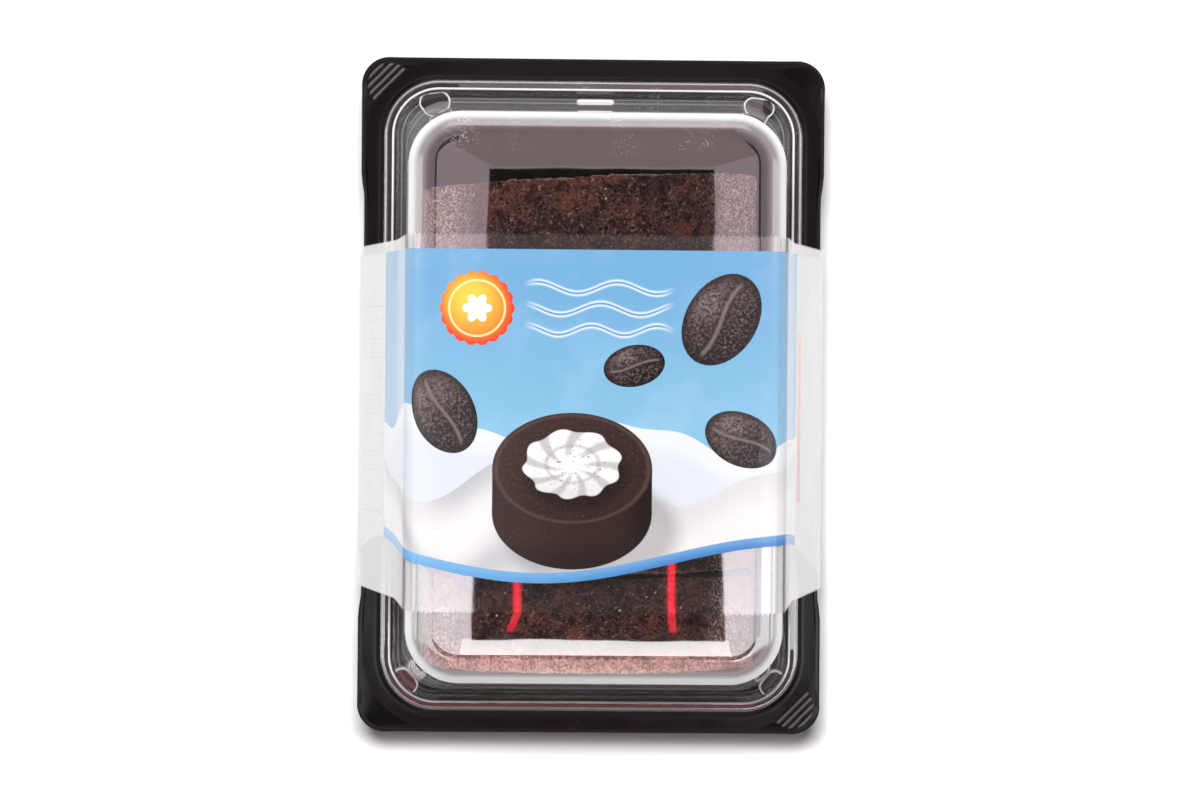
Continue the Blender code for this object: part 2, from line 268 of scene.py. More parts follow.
# Painted light: dark and pale colours for the upper flanks; then for the tops of the cut ends, partly the cut crumb's
# own tone and partly a painted highlight, and for the top of the near end
LIT_FLANK_DARK, LIT_FLANK_PALE = (0.022, 0.013, 0.012), (0.66, 0.42, 0.39)
CUT_AND_LIT_DARK, CUT_AND_LIT_PALE = (0.070, 0.032, 0.028), (0.62, 0.33, 0.28)
GOLD_GRAIN = (0.72, 0.47, 0.28)
GOLD_SPACING = 0.0019
CREAM_DARK, CREAM_LIGHT = (0.74, 0.68, 0.60), (0.87, 0.82, 0.745)
BISCUIT = (0.045, 0.028, 0.024)
CREAM_SCATTER = (0.0022, 0.0018, 0.0014)

# Print of the band. u runs round the band from the middle of its top, to the right, and v along the pack.
PRINT_TOP = 0.0316
PRINT_LEFT = -0.0655
PRINT_RIGHT = 0.0560
SKY_HIGH, SKY_LOW = (0.125, 0.290, 0.470), (0.180, 0.375, 0.525)
# A painted shade where the band turns down past the shoulders, a pale haze, and a painted highlight along the bend
SKY_EDGE_SHADE, SKY_HAZE, SKY_BEND_HIGHLIGHT = (0.135, 0.265, 0.410), (0.45, 0.62, 0.78), (0.52, 0.56, 0.66)
WHITE_INK, GREY_INK = (0.60, 0.58, 0.585), (0.345, 0.340, 0.365)
FAR_INK, FAR_SHADE = (0.58, 0.59, 0.61), (0.40, 0.44, 0.52)
STRIPE_LIGHT, STRIPE_DARK, STRIPE_RIM = (0.105, 0.285, 0.52), (0.038, 0.150, 0.38), (0.20, 0.40, 0.60)
COCOA, COCOA_LIGHT, COCOA_SHINE = (0.011, 0.0070, 0.0072), (0.070, 0.046, 0.046), (0.190, 0.150, 0.150)
BEAN_CREASE, DEEP_BROWN = (0.23, 0.18, 0.16), (0.006, 0.004, 0.004)
CAKE_TOP, CAKE_SIDE = (0.040, 0.0215, 0.0185), (0.022, 0.0115, 0.0100)
CAKE_TURN, CAKE_LIT = (0.006, 0.0035, 0.0035), (0.046, 0.025, 0.021)
CAKE_CRUMB, CAKE_RIM = (0.085, 0.047, 0.040), (0.090, 0.052, 0.045)
CAKE_SHADE, CAKE_CAST = (0.008, 0.005, 0.005), (0.16, 0.15, 0.17)
ROSETTE_LIGHT, ROSETTE_HOLLOW = (0.66, 0.64, 0.63), (0.33, 0.31, 0.32)
ROSETTE_RING, ROSETTE_SHADE, ROSETTE_SPECK = (0.30, 0.28, 0.29), (0.36, 0.34, 0.36), (0.030, 0.022, 0.020)
SEAL_RED, SEAL_ORANGE, SEAL_YELLOW = (0.62, 0.045, 0.02), (0.80, 0.22, 0.03), (0.85, 0.50, 0.06)
SEAL_RING, SEAL_STAR = (0.86, 0.62, 0.30), (0.80, 0.74, 0.66)
SCROLL_WHITE, SCROLL_CORE = (0.62, 0.64, 0.68), (0.10, 0.24, 0.48)
PANEL_LIGHT, PANEL_DARK, PANEL_RULE = (0.52, 0.51, 0.515), (0.40, 0.39, 0.40), (0.16, 0.15, 0.17)
BAR_LOW, BAR_HIGH = (0.55, 0.085, 0.060), (0.66, 0.27, 0.16)

# Motifs of the print: (place, half sizes, degrees) of each bean, and (base, height, wavelength, shift) of each scroll
BEANS = (
    ((0.0265, 0.0170), (0.0105, 0.0076), 58),
    ((0.0310, -0.0085), (0.0082, 0.0056), -24),
    ((0.0080, 0.0070), (0.0066, 0.0044), 12),
    ((-0.0325, -0.0030), (0.0094, 0.0066), -62),
)
CAKE_PLACE = (-0.0050, -0.0150)
CAKE_RADIUS = 0.0170
CAKE_SQUASH = 0.70
CAKE_DEPTH = 0.0095
ROSETTE_FOLDS = 9.0
SEAL_PLACE = (-0.0255, 0.0190)
SEAL_RADIUS = 0.0080
SEAL_SCALLOPS = 9.0
STAR_RAYS = 3.0
SCROLLS = ((0.0235, 0.0012, 0.0170, 0.0), (0.0190, 0.0012, 0.0170, 1.3), (0.0145, 0.0010, 0.0140, 2.1))
SCROLL_START = -0.0140
SCROLL_END = 0.0150
# Box with rules on the left panel: what u and v gain to count from its middle, its half sizes, and its lines
RULED_BOX_SHIFT = (0.080, 0.003)
RULED_BOX_HALF = (0.0115, 0.0230)
RULED_BOX_LINE = 0.00016
RULE_PITCH = 0.0042

# Camera: over the pack, a little to the left of its middle
CAMERA_PLACE = (-0.0143, 0.0058, 0.765)
CAMERA_AIM = (0.0020, -0.0008, 0.018)
CAMERA_LENS = 97.6
CAMERA_SENSOR = 36.0
CAMERA_ROLL = math.radians(0.5)

# Colours and strengths of the light in the studio
LILAC = (1.0, 0.80, 0.88)
PALE_LILAC = (0.98, 0.95, 1.0)
ROSE = (1.0, 0.64, 0.61)
WARM = (1.0, 0.78, 0.74)
WARM_RED = (1.0, 0.40, 0.45)
RED = (1.0, 0.02, 0.05)
COOL_WHITE = (1.0, 0.985, 0.99)
WHITE = (1.0, 1.0, 1.0)
FLAG_STRENGTH = 1.75
LOW_FLAG_STRENGTH = 4.1
FLAG_FADE = (-0.125, 0.060)
GLOW_STRENGTH = 1.2
NEAR_GLOW_STRENGTH = 0.55
WORLD_STRENGTH = 0.12

# What the gloss mirrors: a dark opening over the camera with pale flags beside it and a dim frame round them, in a
# round tent. None of it is seen or lights anything by itself. Each card: (name, plan, drop, colour, strength).
TENT_RADIUS = 1.4
CARD_HEIGHT = 0.873
CARDS = (
    (
        "dark_opening",
        ((-0.0395, -0.1175), (0.0761, -0.1175), (0.0692, 0.0985), (-0.0335, 0.0985)),
        0.003, (0.5, 0.45, 0.45), 0.02,
    ),
    (
        "grey_ceiling",
        (
            (-0.0310, 0.0995), (0.0675, 0.0995), (0.0990, 0.1080),
            (0.1250, 1.0), (-0.0720, 1.0), (-0.0490, 0.1080),
        ),
        0.002, WARM, 1.3,
    ),
    (
        "bright_strip",
        ((-0.0440, -0.1172), (0.0778, -0.1172), (0.0806, -0.1320), (-0.0468, -0.1320)),
        0.002, COOL_WHITE, 6.6,
    ),
    (
        "red_stripe_1",
        (
            (-0.0200, -0.060), (-0.0168, -0.060), (-0.0172, -0.104),
            (-0.0205, -0.1135), (-0.0240, -0.1135), (-0.0205, -0.104),
        ),
        0.004, RED, 5.0,
    ),
    (
        "red_stripe_2",
        (
            (0.0497, -0.060), (0.0529, -0.060), (0.0532, -0.104),
            (0.0545, -0.1135), (0.0510, -0.1135), (0.0500, -0.104),
        ),
        0.004, RED, 5.0,
    ),
)
# Level rectangles: (low x, high x, low y, high y). The flags are the first one and a wing on each side of it.
FLAGS = ((-0.082, 0.112, -0.130, 0.118), (-0.300, -0.085, -0.130, -0.050), (0.115, 0.330, -0.130, -0.050))
FRAMES = (
    ("dim_frame", (-0.125, 0.155, -0.195, 0.180), -0.001, LILAC, 0.35),
    ("warm_frame", (-0.082, 0.098, -0.172, -0.1335), 0.0, WARM_RED, 0.85),
)

# Strengths of the tent: overhead, gained lower down and lost near the floor, gained straight to the far end and to
# the sides, in the patch on each side, gained in the right one, the share lost in a gap across them, and beyond the
# near end
TENT_TOP = 1.2
TENT_LOWER_GAIN = 1.1
TENT_FLOOR_LOSS = 1.75
TENT_END_GAIN = 1.8
TENT_SIDE_GAIN = 1.9
SIDE_PATCH = 4.0
RIGHT_PATCH_GAIN = 1.7
PATCH_GAP_LOSS = 0.6
ROSE_STRENGTH = 2.0

# Floor and what is seen behind the pack
FLOOR_HALF = 6
FLOOR_PALE = ((0.89, 0.89, 0.89), (0.91, 0.91, 0.91))
TABLE_LIGHT_HEIGHT = 0.0003
# The painted shadow round the pack on the table's shine: its tint, and the distances from the pack over which it
# fades out
TABLE_SHADE = (1.0, 0.84, 0.82)
PAINTED_SHADOW_FADE = (0.0012, 0.0110)
FLOOR_GLOW_HEIGHT = 0.0005
FLOOR_GLOW_INNER = 0.09
FLOOR_GLOW_STEPS = 64
BACKDROP_RADIUS = 5.5
BACKDROP_STRENGTH = 1.0

# Lamps light the pack and don't show in its gloss: (place, size, energy). The room's lamps light the floor too, the
# side ones only the pack, and the last ones only the sponge, as light that comes in through the lid does.
ROOM_LAMPS = {
    "key": ((-0.05, 0.30, 0.95), 0.36, 11.8),
    "fill": ((0.0, 0.0, 1.2), 0.9, 0.8),
}
SIDE_LAMPS = {
    "left": ((-0.80, 0.0, 0.17), 0.5, 3.4),
    "right": ((0.80, 0.0, 0.17), 0.5, 3.2),
    "upper": ((0.0, 0.80, 0.17), 0.5, 2.2),
    "lower": ((0.0, -0.80, 0.17), 0.5, 2.8),
}
SPONGE_LAMPS = {
    "left_flank": ((-0.62, 0.05, 0.50), 0.12, 5.4),
    "right_flank": ((0.62, 0.05, 0.50), 0.12, 2.8),
    "low_flank": ((0.0, -0.70, 0.40), 0.12, 3.8),
}


# Shader building

class Field:
    """A number or vector that varies over a surface, held as an output socket. Arithmetic adds Math nodes."""

    def __init__(self, tree, socket):
        self.tree = tree
        self.socket = socket

    def math(self, operation, *others):
        return field(self.tree, "ShaderNodeMath", 0, dict(enumerate((self, *others))), operation=operation)

    def __add__(self, other):
        return self.math("ADD", other)

    def __sub__(self, other):
        return self.math("SUBTRACT", other)

    def __mul__(self, other):
        return self.math("MULTIPLY", other)

    def __truediv__(self, other):
        return self.math("DIVIDE", other)

    def __abs__(self):
        return self.math("ABSOLUTE")

    __radd__ = __add__
    __rmul__ = __mul__

    def __rsub__(self, other):
        return self * -1.0 + other

    def at_least(self, level):
        return self.math("MAXIMUM", level)

    def at_most(self, level):
        return self.math("MINIMUM", level)

    def step(self, low, high):
        """0 at low and 1 at high, smooth between them. low may be the larger."""
        ends = {"From Min": min(low, high), "From Max": max(low, high)}
        ends |= {"To Min": float(low >= high), "To Max": float(low < high)}
        return field(self.tree, "ShaderNodeMapRange", 0, {"Value": self, **ends}, interpolation_type="SMOOTHSTEP")

    def above(self, level, blur=EDGE_BLUR):
        return self.step(level - blur, level + blur)

    def below(self, level, blur=EDGE_BLUR):
        return self.step(level + blur, level - blur)

    def wave(self, length, shift=0.0):
        """Sine of the number, with a wavelength."""
        return (self * (2 * math.pi / length) + shift).math("SINE")


def add_node(tree, kind, inputs=(), **settings):
    """A shader node with its settings, and its inputs as {name or place: value, Field, socket or RGB colour}."""
    node = tree.nodes.new(kind)
    for key, value in settings.items():
        setattr(node, key, value)
    for key, value in dict(inputs).items():
        socket = node.inputs[key]
        value = value.socket if isinstance(value, Field) else value
        if isinstance(value, bpy.types.NodeSocket):
            tree.links.new(value, socket)
        else:
            socket.default_value = (*value, 1.0) if socket.type == "RGBA" else value
    return node


def field(tree, kind, output, inputs=(), **settings):
    return Field(tree, add_node(tree, kind, inputs, **settings).outputs[output])


def total(fields):
    first, *others = fields
    return sum(others, first)


def length(across, along):
    return (across * across + along * along).math("SQRT")


def blend(share, first, second):
    """Colour mix. Each colour is an RGB tuple or a socket."""
    return add_node(share.tree, "ShaderNodeMix", {0: share, 6: first, 7: second}, data_type="RGBA").outputs[2]


def coated(colour, *coats):
    """The colour under coats of other colours, which are (share, colour)."""
    for share, coat in coats:
        colour = blend(share, colour, coat)
    return colour


def mix_shader(tree, share, first, second):
    return add_node(tree, "ShaderNodeMixShader", {0: share, 1: first, 2: second}).outputs[0]


def new_material(name):
    """An empty node material and its tree. None that glows is sampled as a lamp."""
    material = bpy.data.materials.new(name)
    material.use_nodes = True
    material.cycles.emission_sampling = "NONE"
    material.node_tree.nodes.clear()
    return material, material.node_tree


def finished(material, surface):
    add_node(material.node_tree, "ShaderNodeOutputMaterial", {"Surface": surface})
    return material


def principled(material, inputs):
    return finished(material, add_node(material.node_tree, "ShaderNodeBsdfPrincipled", inputs).outputs[0])


def shining(material, colour, strength):
    inputs = {"Color": colour, "Strength": strength}
    return finished(material, add_node(material.node_tree, "ShaderNodeEmission", inputs).outputs[0])


def axes(tree, output="Object"):
    """X, Y and Z of the surface point or of its normal, and the vector itself."""
    vector = field(tree, "ShaderNodeTexCoord", output)
    parts = add_node(tree, "ShaderNodeSeparateXYZ", {"Vector": vector}).outputs
    return [*(Field(tree, part) for part in parts), vector]


def noise(place, grain, detail=2.0, roughness=0.5):
    """Noise whose blobs are about one grain across."""
    inputs = {"Vector": place, "Scale": 1 / grain, "Detail": detail, "Roughness": roughness}
    return field(place.tree, "ShaderNodeTexNoise", "Fac", inputs)


def cells(place, grain):
    """Distance field of round cells about one grain across."""
    return field(place.tree, "ShaderNodeTexVoronoi", "Distance", {"Vector": place, "Scale": 1 / grain})


def bump(height, distance):
    return add_node(height.tree, "ShaderNodeBump", {"Height": height, "Distance": distance}).outputs["Normal"]


# Plastic and cake

def clear_sheet(tint, roughness, normal, haze):
    """Shader of a thin clear plastic sheet, milky by the share haze, and more so seen edge-on.

    Only the face turned to the viewer mirrors and is milky, so that a sheet's two faces count once.
    """
    tree = haze.tree
    milky = {"Color": SHEET_MILK, "Normal": normal}
    scatter = add_node(tree, "ShaderNodeBsdfDiffuse", milky).outputs[0]
    glow = add_node(tree, "ShaderNodeBsdfTranslucent", milky).outputs[0]
    milk = mix_shader(tree, MILK_GLOW, scatter, glow)
    through = add_node(tree, "ShaderNodeBsdfTransparent", {"Color": tint}).outputs[0]
    glossy = {"Color": SHEET_MIRROR, "Roughness": roughness, "Normal": normal}
    mirror = add_node(tree, "ShaderNodeBsdfAnisotropic", glossy, distribution="GGX").outputs[0]
    front = 1.0 - field(tree, "ShaderNodeNewGeometry", "Backfacing")
    facing = field(tree, "ShaderNodeLayerWeight", "Facing", {"Blend": 0.5})
    fresnel = field(tree, "ShaderNodeFresnel", 0, {"IOR": SHEET_IOR, "Normal": normal})
    cloudy = mix_shader(tree, (facing * facing * facing * EDGE_MILK + haze) * front, through, milk)
    return mix_shader(tree, fresnel * front * (1.0 - haze * MILK_DULLING), cloudy, mirror)


def turned(u, v, place, degrees):
    """(along, across) of a point in a motif's own axes."""
    cos, sin = math.cos(math.radians(degrees)), math.sin(math.radians(degrees))
    du, dv = u - place[0], v - place[1]
    return du * cos + dv * sin, dv * cos - du * sin


def lug_edge_highlights(across, along):
    """1 on painted highlights: thin milky lines round the edges of the oval bosses, and all over the long one."""
    lines = []
    for x, y, half, radius, degrees, _ in LUGS:
        du, dv = turned(across, along, (x, y), degrees)
        reach = length((abs(du) - half).at_least(0.0), dv) - radius
        if radius > LUG_NARROW:
            lines.append(abs(reach + LUG_HIGHLIGHT_LINE).below(LUG_HIGHLIGHT_LINE, LUG_HIGHLIGHT_LINE / 2))
        else:
            lines.append(reach.below(-LUG_HIGHLIGHT_LINE, LUG_HIGHLIGHT_LINE))
    return total(lines)


def bead_inset(across, along):
    """How far a point lies in from the flange's edge, in rings that turn round with the bead."""
    dx = abs(across) - (PACK_WIDTH / 2 - BEAD_INSET - BEAD_CORNER)
    dy = abs(along) - (PACK_LENGTH / 2 - BEAD_INSET - BEAD_CORNER)
    outer = length(dx.at_least(0.0), dy.at_least(0.0))
    return BEAD_INSET + BEAD_CORNER - (outer + dx.at_least(dy).at_most(0.0))


def lid_material():
    """Clear plastic with painted highlights as milk at its shoulders and foot and in lines along its edges, milk in
    the channel as painted light, and its own milk where it is dusty.
    """
    material, tree = new_material("clear lid plastic")
    across, along, height, place = axes(tree)
    normal = bump(noise(place, 0.022, 1.0), 0.000012)
    steepness = abs(axes(tree, "Normal")[2])
    # Painted highlights as milk where the clear plastic shows bright reflections: on the dome's steep shoulders,
    # round the bosses' edges and at the foot
    shoulder_highlight = steepness.step(0.99, 0.55) * steepness.step(0.11, 0.36)
    shoulder_highlight = shoulder_highlight * height.above(0.03, 0.004) * SHOULDER_HIGHLIGHT_MILK
    inset = bead_inset(across, along)
    outline = lug_edge_highlights(across, along) * height.above(LUG_BASE, 0.0004) * height.below(0.0186, 0.0003)
    foot = height.above(0.0147, 0.0004) * height.below(0.0185, 0.0012) * steepness.step(0.70, 0.35) * FOOT_HIGHLIGHT_MILK
    foot = foot * (inset - 0.0101).above(0.0, 0.0003)

    # Painted highlights as milky lines along the bead, fainter at the near end, and in the channel
    edges = total(abs(inset - middle).below(half, half / 2) * share for middle, half, share in BEAD_HIGHLIGHT_LINES)
    edges = edges * height.above(0.0162, 0.0003) * height.below(0.0205, 0.0003)
    edges = edges * (along.step(-0.062, -0.068) * -0.5 + 1.0)
    middle, half, share = CHANNEL_HIGHLIGHT_LINE
    edges = edges + abs(inset - middle).below(half) * height.below(0.0150, 0.0003) * share

    dust = noise(place, 0.00042, 2.0, 0.7).step(0.60, 0.66) * noise(place, 0.010).step(0.50, 0.62)
    dust = dust * along.step(0.050, 0.056) * steepness.above(0.6, 0.1)
    # Painted light: milk that lightens the channel
    channel = height.below(0.0146, 0.0004) * CHANNEL_PAINTED_LIGHT
    milky = shoulder_highlight + outline * LUG_HIGHLIGHT_MILK + foot + edges + dust * DUST_MILK + channel
    return finished(material, clear_sheet(LID_TINT, LID_ROUGHNESS, normal, milky.at_most(MOST_MILK)))


def tray_material():
    """Black plastic with a little dust, and a painted highlight along the crests of the grip ribs."""
    material, tree = new_material("black tray plastic")
    across, along, height, place = axes(tree)
    peel = noise(place, 0.0011, 1.0) + noise(place, 0.009, 1.0) * 3.0
    dust = noise(place, 0.0007, 3.0, 0.7).step(0.66, 0.74) * noise(place, 0.011).step(0.5, 0.65)
    wear = noise(place, 0.006, 4.0)
    corner_x = abs(across) - (PACK_WIDTH / 2 - OUTER_CORNER)
    corner_y = abs(along) - (PACK_LENGTH / 2 - OUTER_CORNER)
    outward = (corner_x + corner_y) * math.sqrt(0.5)
    # Painted highlight along the crests of the grip ribs
    crest = (outward - (GRIP_FIRST - GRIP_PITCH / 4)).wave(GRIP_PITCH).step(-0.2, 0.8)
    ribbed = length(corner_x, corner_y).below(GRIP_REACH, 0.0004) * (across * along).below(0.0, 0.000001)
    ribbed = ribbed * outward.above(GRIP_FIRST - GRIP_PITCH / 2, 0.0001) * height.above(0.0165, 0.0002)
    inputs = {
        "Base Color": coated(TRAY_BLACK, (dust * 0.35, TRAY_DUST), (crest * ribbed * 0.7, TRAY_CREST_HIGHLIGHT)),
        "Roughness": wear.step(0.3, 0.8) * 0.06 + 0.11,
        "IOR": 1.22,
        "Normal": bump(peel, 0.000006),
    }
    return principled(material, inputs)


def sponge_material():
    """Cocoa crumb: dark cells, deepened with painted shade in the pores, between brown walls, redder and darker
    patches, pale crumb specks that are partly painted highlights, and a few pale golden grains.

    It is paler high on both flanks, as painted light; at the top of the cut ends, partly as the cut crumb's own tone
    and partly as a painted highlight; and on the top of the near end, as painted light.
    """
    material, tree = new_material("cocoa sponge")
    across, along, height, place = axes(tree)
    grain = noise(place, 0.00056, 3.0, 0.7)
    crumbs = noise(place, 0.00085, 4.0, 0.75)
    pores = cells(place, 0.00125)
    patches = noise(place, 0.0085, 3.0, 0.6)
    clumps = noise(place, 0.0026, 3.0, 0.6)
    flecks = noise(place, 0.00054, 3.0, 0.85)
    aside = abs(across - ROLL_CENTRE_X)
    # Painted light: paler colour high on both flanks
    lit_flank = aside.step(0.0235, 0.0310) * height.step(0.026, 0.044)
    # The tops of the cut ends are paler, partly their own tone and partly a painted highlight
    cut = abs(axes(tree, "Normal")[1]).step(0.35, 0.8) * height.step(0.0590, 0.0655)
    # Painted light: paler colour on the top of the near end
    lit_near_end = (along + (crumbs - 0.5) * 0.006).step(*LIT_NEAR_END_SPAN)
    lit_near_end = lit_near_end * aside.step(0.036, 0.031) * height.step(0.050, 0.060)
    gold = add_node(tree, "ShaderNodeTexVoronoi", {"Vector": place, "Scale": 1 / GOLD_SPACING}).outputs
    pick = field(tree, "ShaderNodeSeparateColor", 0, {"Color": gold["Color"]})
    speck = Field(tree, gold["Distance"]).below(0.13, 0.03) * pick.above(0.93, 0.01)
    colour = coated(
        blend(grain.step(0.34, 0.64), CRUMB_DARK, CRUMB_BROWN),
        (patches.step(0.46, 0.66) * 0.6, CRUMB_RED),
        (clumps.step(0.52, 0.38) * 0.75, CRUMB_SHADE),
        (patches.step(0.50, 0.34) * 0.5, CRUMB_PATCH),
        # Pale crumb specks, partly painted highlights on lit crumb tips, more of them on the painted-lit flanks
        (crumbs.step(0.56, 0.70) * (lit_flank * 0.40 + 0.6), CRUMB_PALE_AND_HIGHLIGHT),
        (
            lit_flank * (clumps.step(0.38, 0.62) * 0.35 + 0.50),
            blend(flecks.step(0.455, 0.60), LIT_FLANK_DARK, LIT_FLANK_PALE),
        ),
        (
            (cut * 0.45 + lit_near_end * 0.8).at_most(0.9),
            blend((flecks + clumps * 0.3).step(0.56, 0.74), CUT_AND_LIT_DARK, CUT_AND_LIT_PALE),
        ),
        # Painted shade in the pores
        (pores.step(0.32, 0.12) * crumbs.step(0.62, 0.5) * 0.9, PORE_SHADE),
        (speck * 0.9, GOLD_GRAIN),
    )
    relief = grain * 0.7 + pores.step(0.0, 0.4) * 0.5 + crumbs * 0.8
    inputs = {
        "Base Color": colour,
        "Roughness": 0.9,
        "Specular IOR Level": 0.08,
        "Normal": bump(relief, 0.0010),
    }
    return principled(material, inputs)


def cream_material():
    """Whipped cream with small bubbles and dark biscuit bits."""
    material, tree = new_material("white cream")
    place = axes(tree)[3]
    whip = noise(place, 0.0018, 3.0, 0.6)
    bubbles = cells(place, 0.0009).step(0.25, 0.08)
    specks = noise(place, 0.0006, 2.0).step(0.70, 0.76) + noise(place, 0.0016, 3.0, 0.6).step(0.63, 0.66)
    cream = blend(whip.step(0.35, 0.7), CREAM_DARK, CREAM_LIGHT)
    inputs = {
        "Base Color": blend(specks.at_most(1.0) * 0.9, cream, BISCUIT),
        "Roughness": 0.5,
        "Specular IOR Level": 0.25,
        "Subsurface Weight": 0.25,
        "Subsurface Radius": CREAM_SCATTER,
        "Subsurface Scale": 1.0,
        "Normal": bump(whip - bubbles * 0.4, 0.0002),
    }
    return principled(material, inputs)


# Print

def paint_bean(colour, u, v, place, half, degrees, texture):
    """A cocoa bean: a dark grainy oval, shaded round its edge and shining on one side, with a crease."""
    along, across = turned(u, v, place, degrees)
    reach = length(along / half[0], across / half[1])
    crease_line = abs(across - (along * (math.pi / half[0])).math("SINE") * (half[1] * 0.10))
    crease = crease_line.below(half[1] * 0.050, half[1] * 0.05) * reach.below(0.84, 0.08)
    groove = crease_line.step(half[1] * 0.30, 0.0) * reach.below(0.90, 0.10)
    du, dv = (u - place[0]) / half[0], (v - place[1]) / half[0]
    shine = length(du + 0.28, dv - 0.32).step(0.50, 0.05) * texture.step(0.36, 0.62)
    skin = coated(
        blend((dv * 0.45 - du * 0.35 + texture * 1.1).step(0.20, 1.0), COCOA, COCOA_LIGHT),
        (texture.step(0.50, 0.62) * 0.42, COCOA_SHINE),
        (texture.step(0.46, 0.36) * 0.6, COCOA),
        (shine * 0.65, COCOA_SHINE),
        (groove * 0.55, COCOA),
        (crease * 0.55, BEAN_CREASE),
        (reach.step(0.72, 1.0) * 0.75, DEEP_BROWN),
    )
    return blend(reach.below(1.0, 0.012), colour, skin)


def paint_cake(colour, u, v, place, radius, texture):
    """A plain round cocoa cake seen from above at a slant, with a rosette of cream on it."""
    du, dv = u - place[0], v - place[1]
    across = du / radius
    top = length(du, dv / CAKE_SQUASH)
    low = length(du, (dv + CAKE_DEPTH) / CAKE_SQUASH)
    between = abs(du).below(radius) * dv.below(0.0) * dv.above(-CAKE_DEPTH)
    body = (low.below(radius, 0.00010) + between + top.below(radius, 0.00010)).at_most(1.0)
    side = coated(
        blend((across * across).step(0.15, 1.0), CAKE_SIDE, CAKE_TURN),
        ((texture * 0.8 - across * 0.3).step(0.30, 0.80) * 0.6, CAKE_LIT),
        ((dv + CAKE_DEPTH + radius * CAKE_SQUASH).step(radius * 0.5, 0.0) * 0.7, DEEP_BROWN),
    )

    # The rosette: rings of folds that turn inwards, greyer in their hollows
    angle = (dv / CAKE_SQUASH).math("ARCTAN2", du)
    reach = length(du, (dv - radius * 0.06) / CAKE_SQUASH) / radius
    ripple = (angle * ROSETTE_FOLDS + reach * 7.0).math("SINE")
    hollow = ripple.step(0.1, -0.9) * reach.step(0.05, 0.30)
    cream = coated(
        blend(hollow * 0.75, ROSETTE_LIGHT, ROSETTE_HOLLOW),
        (abs(reach - 0.33).step(0.05, 0.0) * 0.55, ROSETTE_RING),
        ((dv / radius).step(0.05, -0.42) * 0.45, ROSETTE_SHADE),
        (texture.step(0.60, 0.68) * reach.step(0.56, 0.40) * 0.9, ROSETTE_SPECK),
    )
    shade = length(du - radius * 0.05, (dv + radius * 0.05) / CAKE_SQUASH).step(radius * 0.74, radius * 0.55)
    face = coated(
        blend((texture + dv / radius * 0.3 - across * 0.15).step(0.25, 0.85), CAKE_SIDE, CAKE_TOP),
        (texture.step(0.56, 0.70) * 0.5, CAKE_CRUMB),
        (abs(top / radius - 0.955).step(0.05, 0.0) * 0.5, CAKE_RIM),
        (shade * 0.6, CAKE_SHADE),
        ((reach - ripple * 0.030).below(0.60, 0.012), cream),
    )
    cast = length((du - radius * 0.25) / 1.15, (dv + CAKE_DEPTH + radius * 0.22) / CAKE_SQUASH)
    colour = blend(cast.step(radius * 1.10, radius * 0.80) * 0.55, colour, CAKE_CAST)
    return blend(body, colour, blend(top.below(radius, 0.00010), side, face))


def paint_seal(colour, u, v, place, radius):
    """A warm scalloped seal with a plain ring and a small star in it."""
    du, dv = u - place[0], v - place[1]
    reach = length(du, dv)
    angle = dv.math("ARCTAN2", du)
    edge = abs((angle * SEAL_SCALLOPS).math("COSINE")) * (radius * 0.07) + radius * 0.93
    star = abs((angle * STAR_RAYS).math("COSINE")) * (radius * 0.16) + radius * 0.24
    glow = (length(du + radius * 0.2, dv - radius * 0.3) / radius).step(1.1, 0.1)
    fill = coated(
        blend((reach / radius).step(1.0, 0.55), SEAL_RED, SEAL_ORANGE),
        (glow * 0.85, SEAL_YELLOW),
        (abs(reach - radius * 0.74).below(radius * 0.030, 0.00006) * 0.8, SEAL_RING),
        ((reach - star).below(0.0, 0.0001), SEAL_STAR),
    )
    return blend((reach - edge).below(0.0, 0.0001), colour, fill)


def inside_box(across, along, half_across, half_along):
    return abs(across).below(half_across) * abs(along).below(half_along)


def paint_panel(u, v, soft):
    """The pale panels down both sides: one with a warm bar on it, and one with a ruled box."""
    lines = (u.wave(0.00062) * 0.5 + 0.5) * 0.10
    bar_colour = blend(v.step(-0.022, 0.014), BAR_LOW, BAR_HIGH)
    box = (u + RULED_BOX_SHIFT[0], v + RULED_BOX_SHIFT[1])
    inside = inside_box(*box, *RULED_BOX_HALF)
    frame = inside - inside_box(*box, *(half - RULED_BOX_LINE for half in RULED_BOX_HALF))
    rules = (v / RULE_PITCH).math("FRACT").below(0.035, 0.02) * inside
    return coated(
        blend(soft.step(0.35, 0.75) * 0.35 + lines, PANEL_LIGHT, PANEL_DARK),
        (abs(u - 0.0605).below(0.0024) * abs(v + 0.004).below(0.0185) * 0.8, bar_colour),
        ((frame + rules * 0.6) * 0.45, PANEL_RULE),
    )


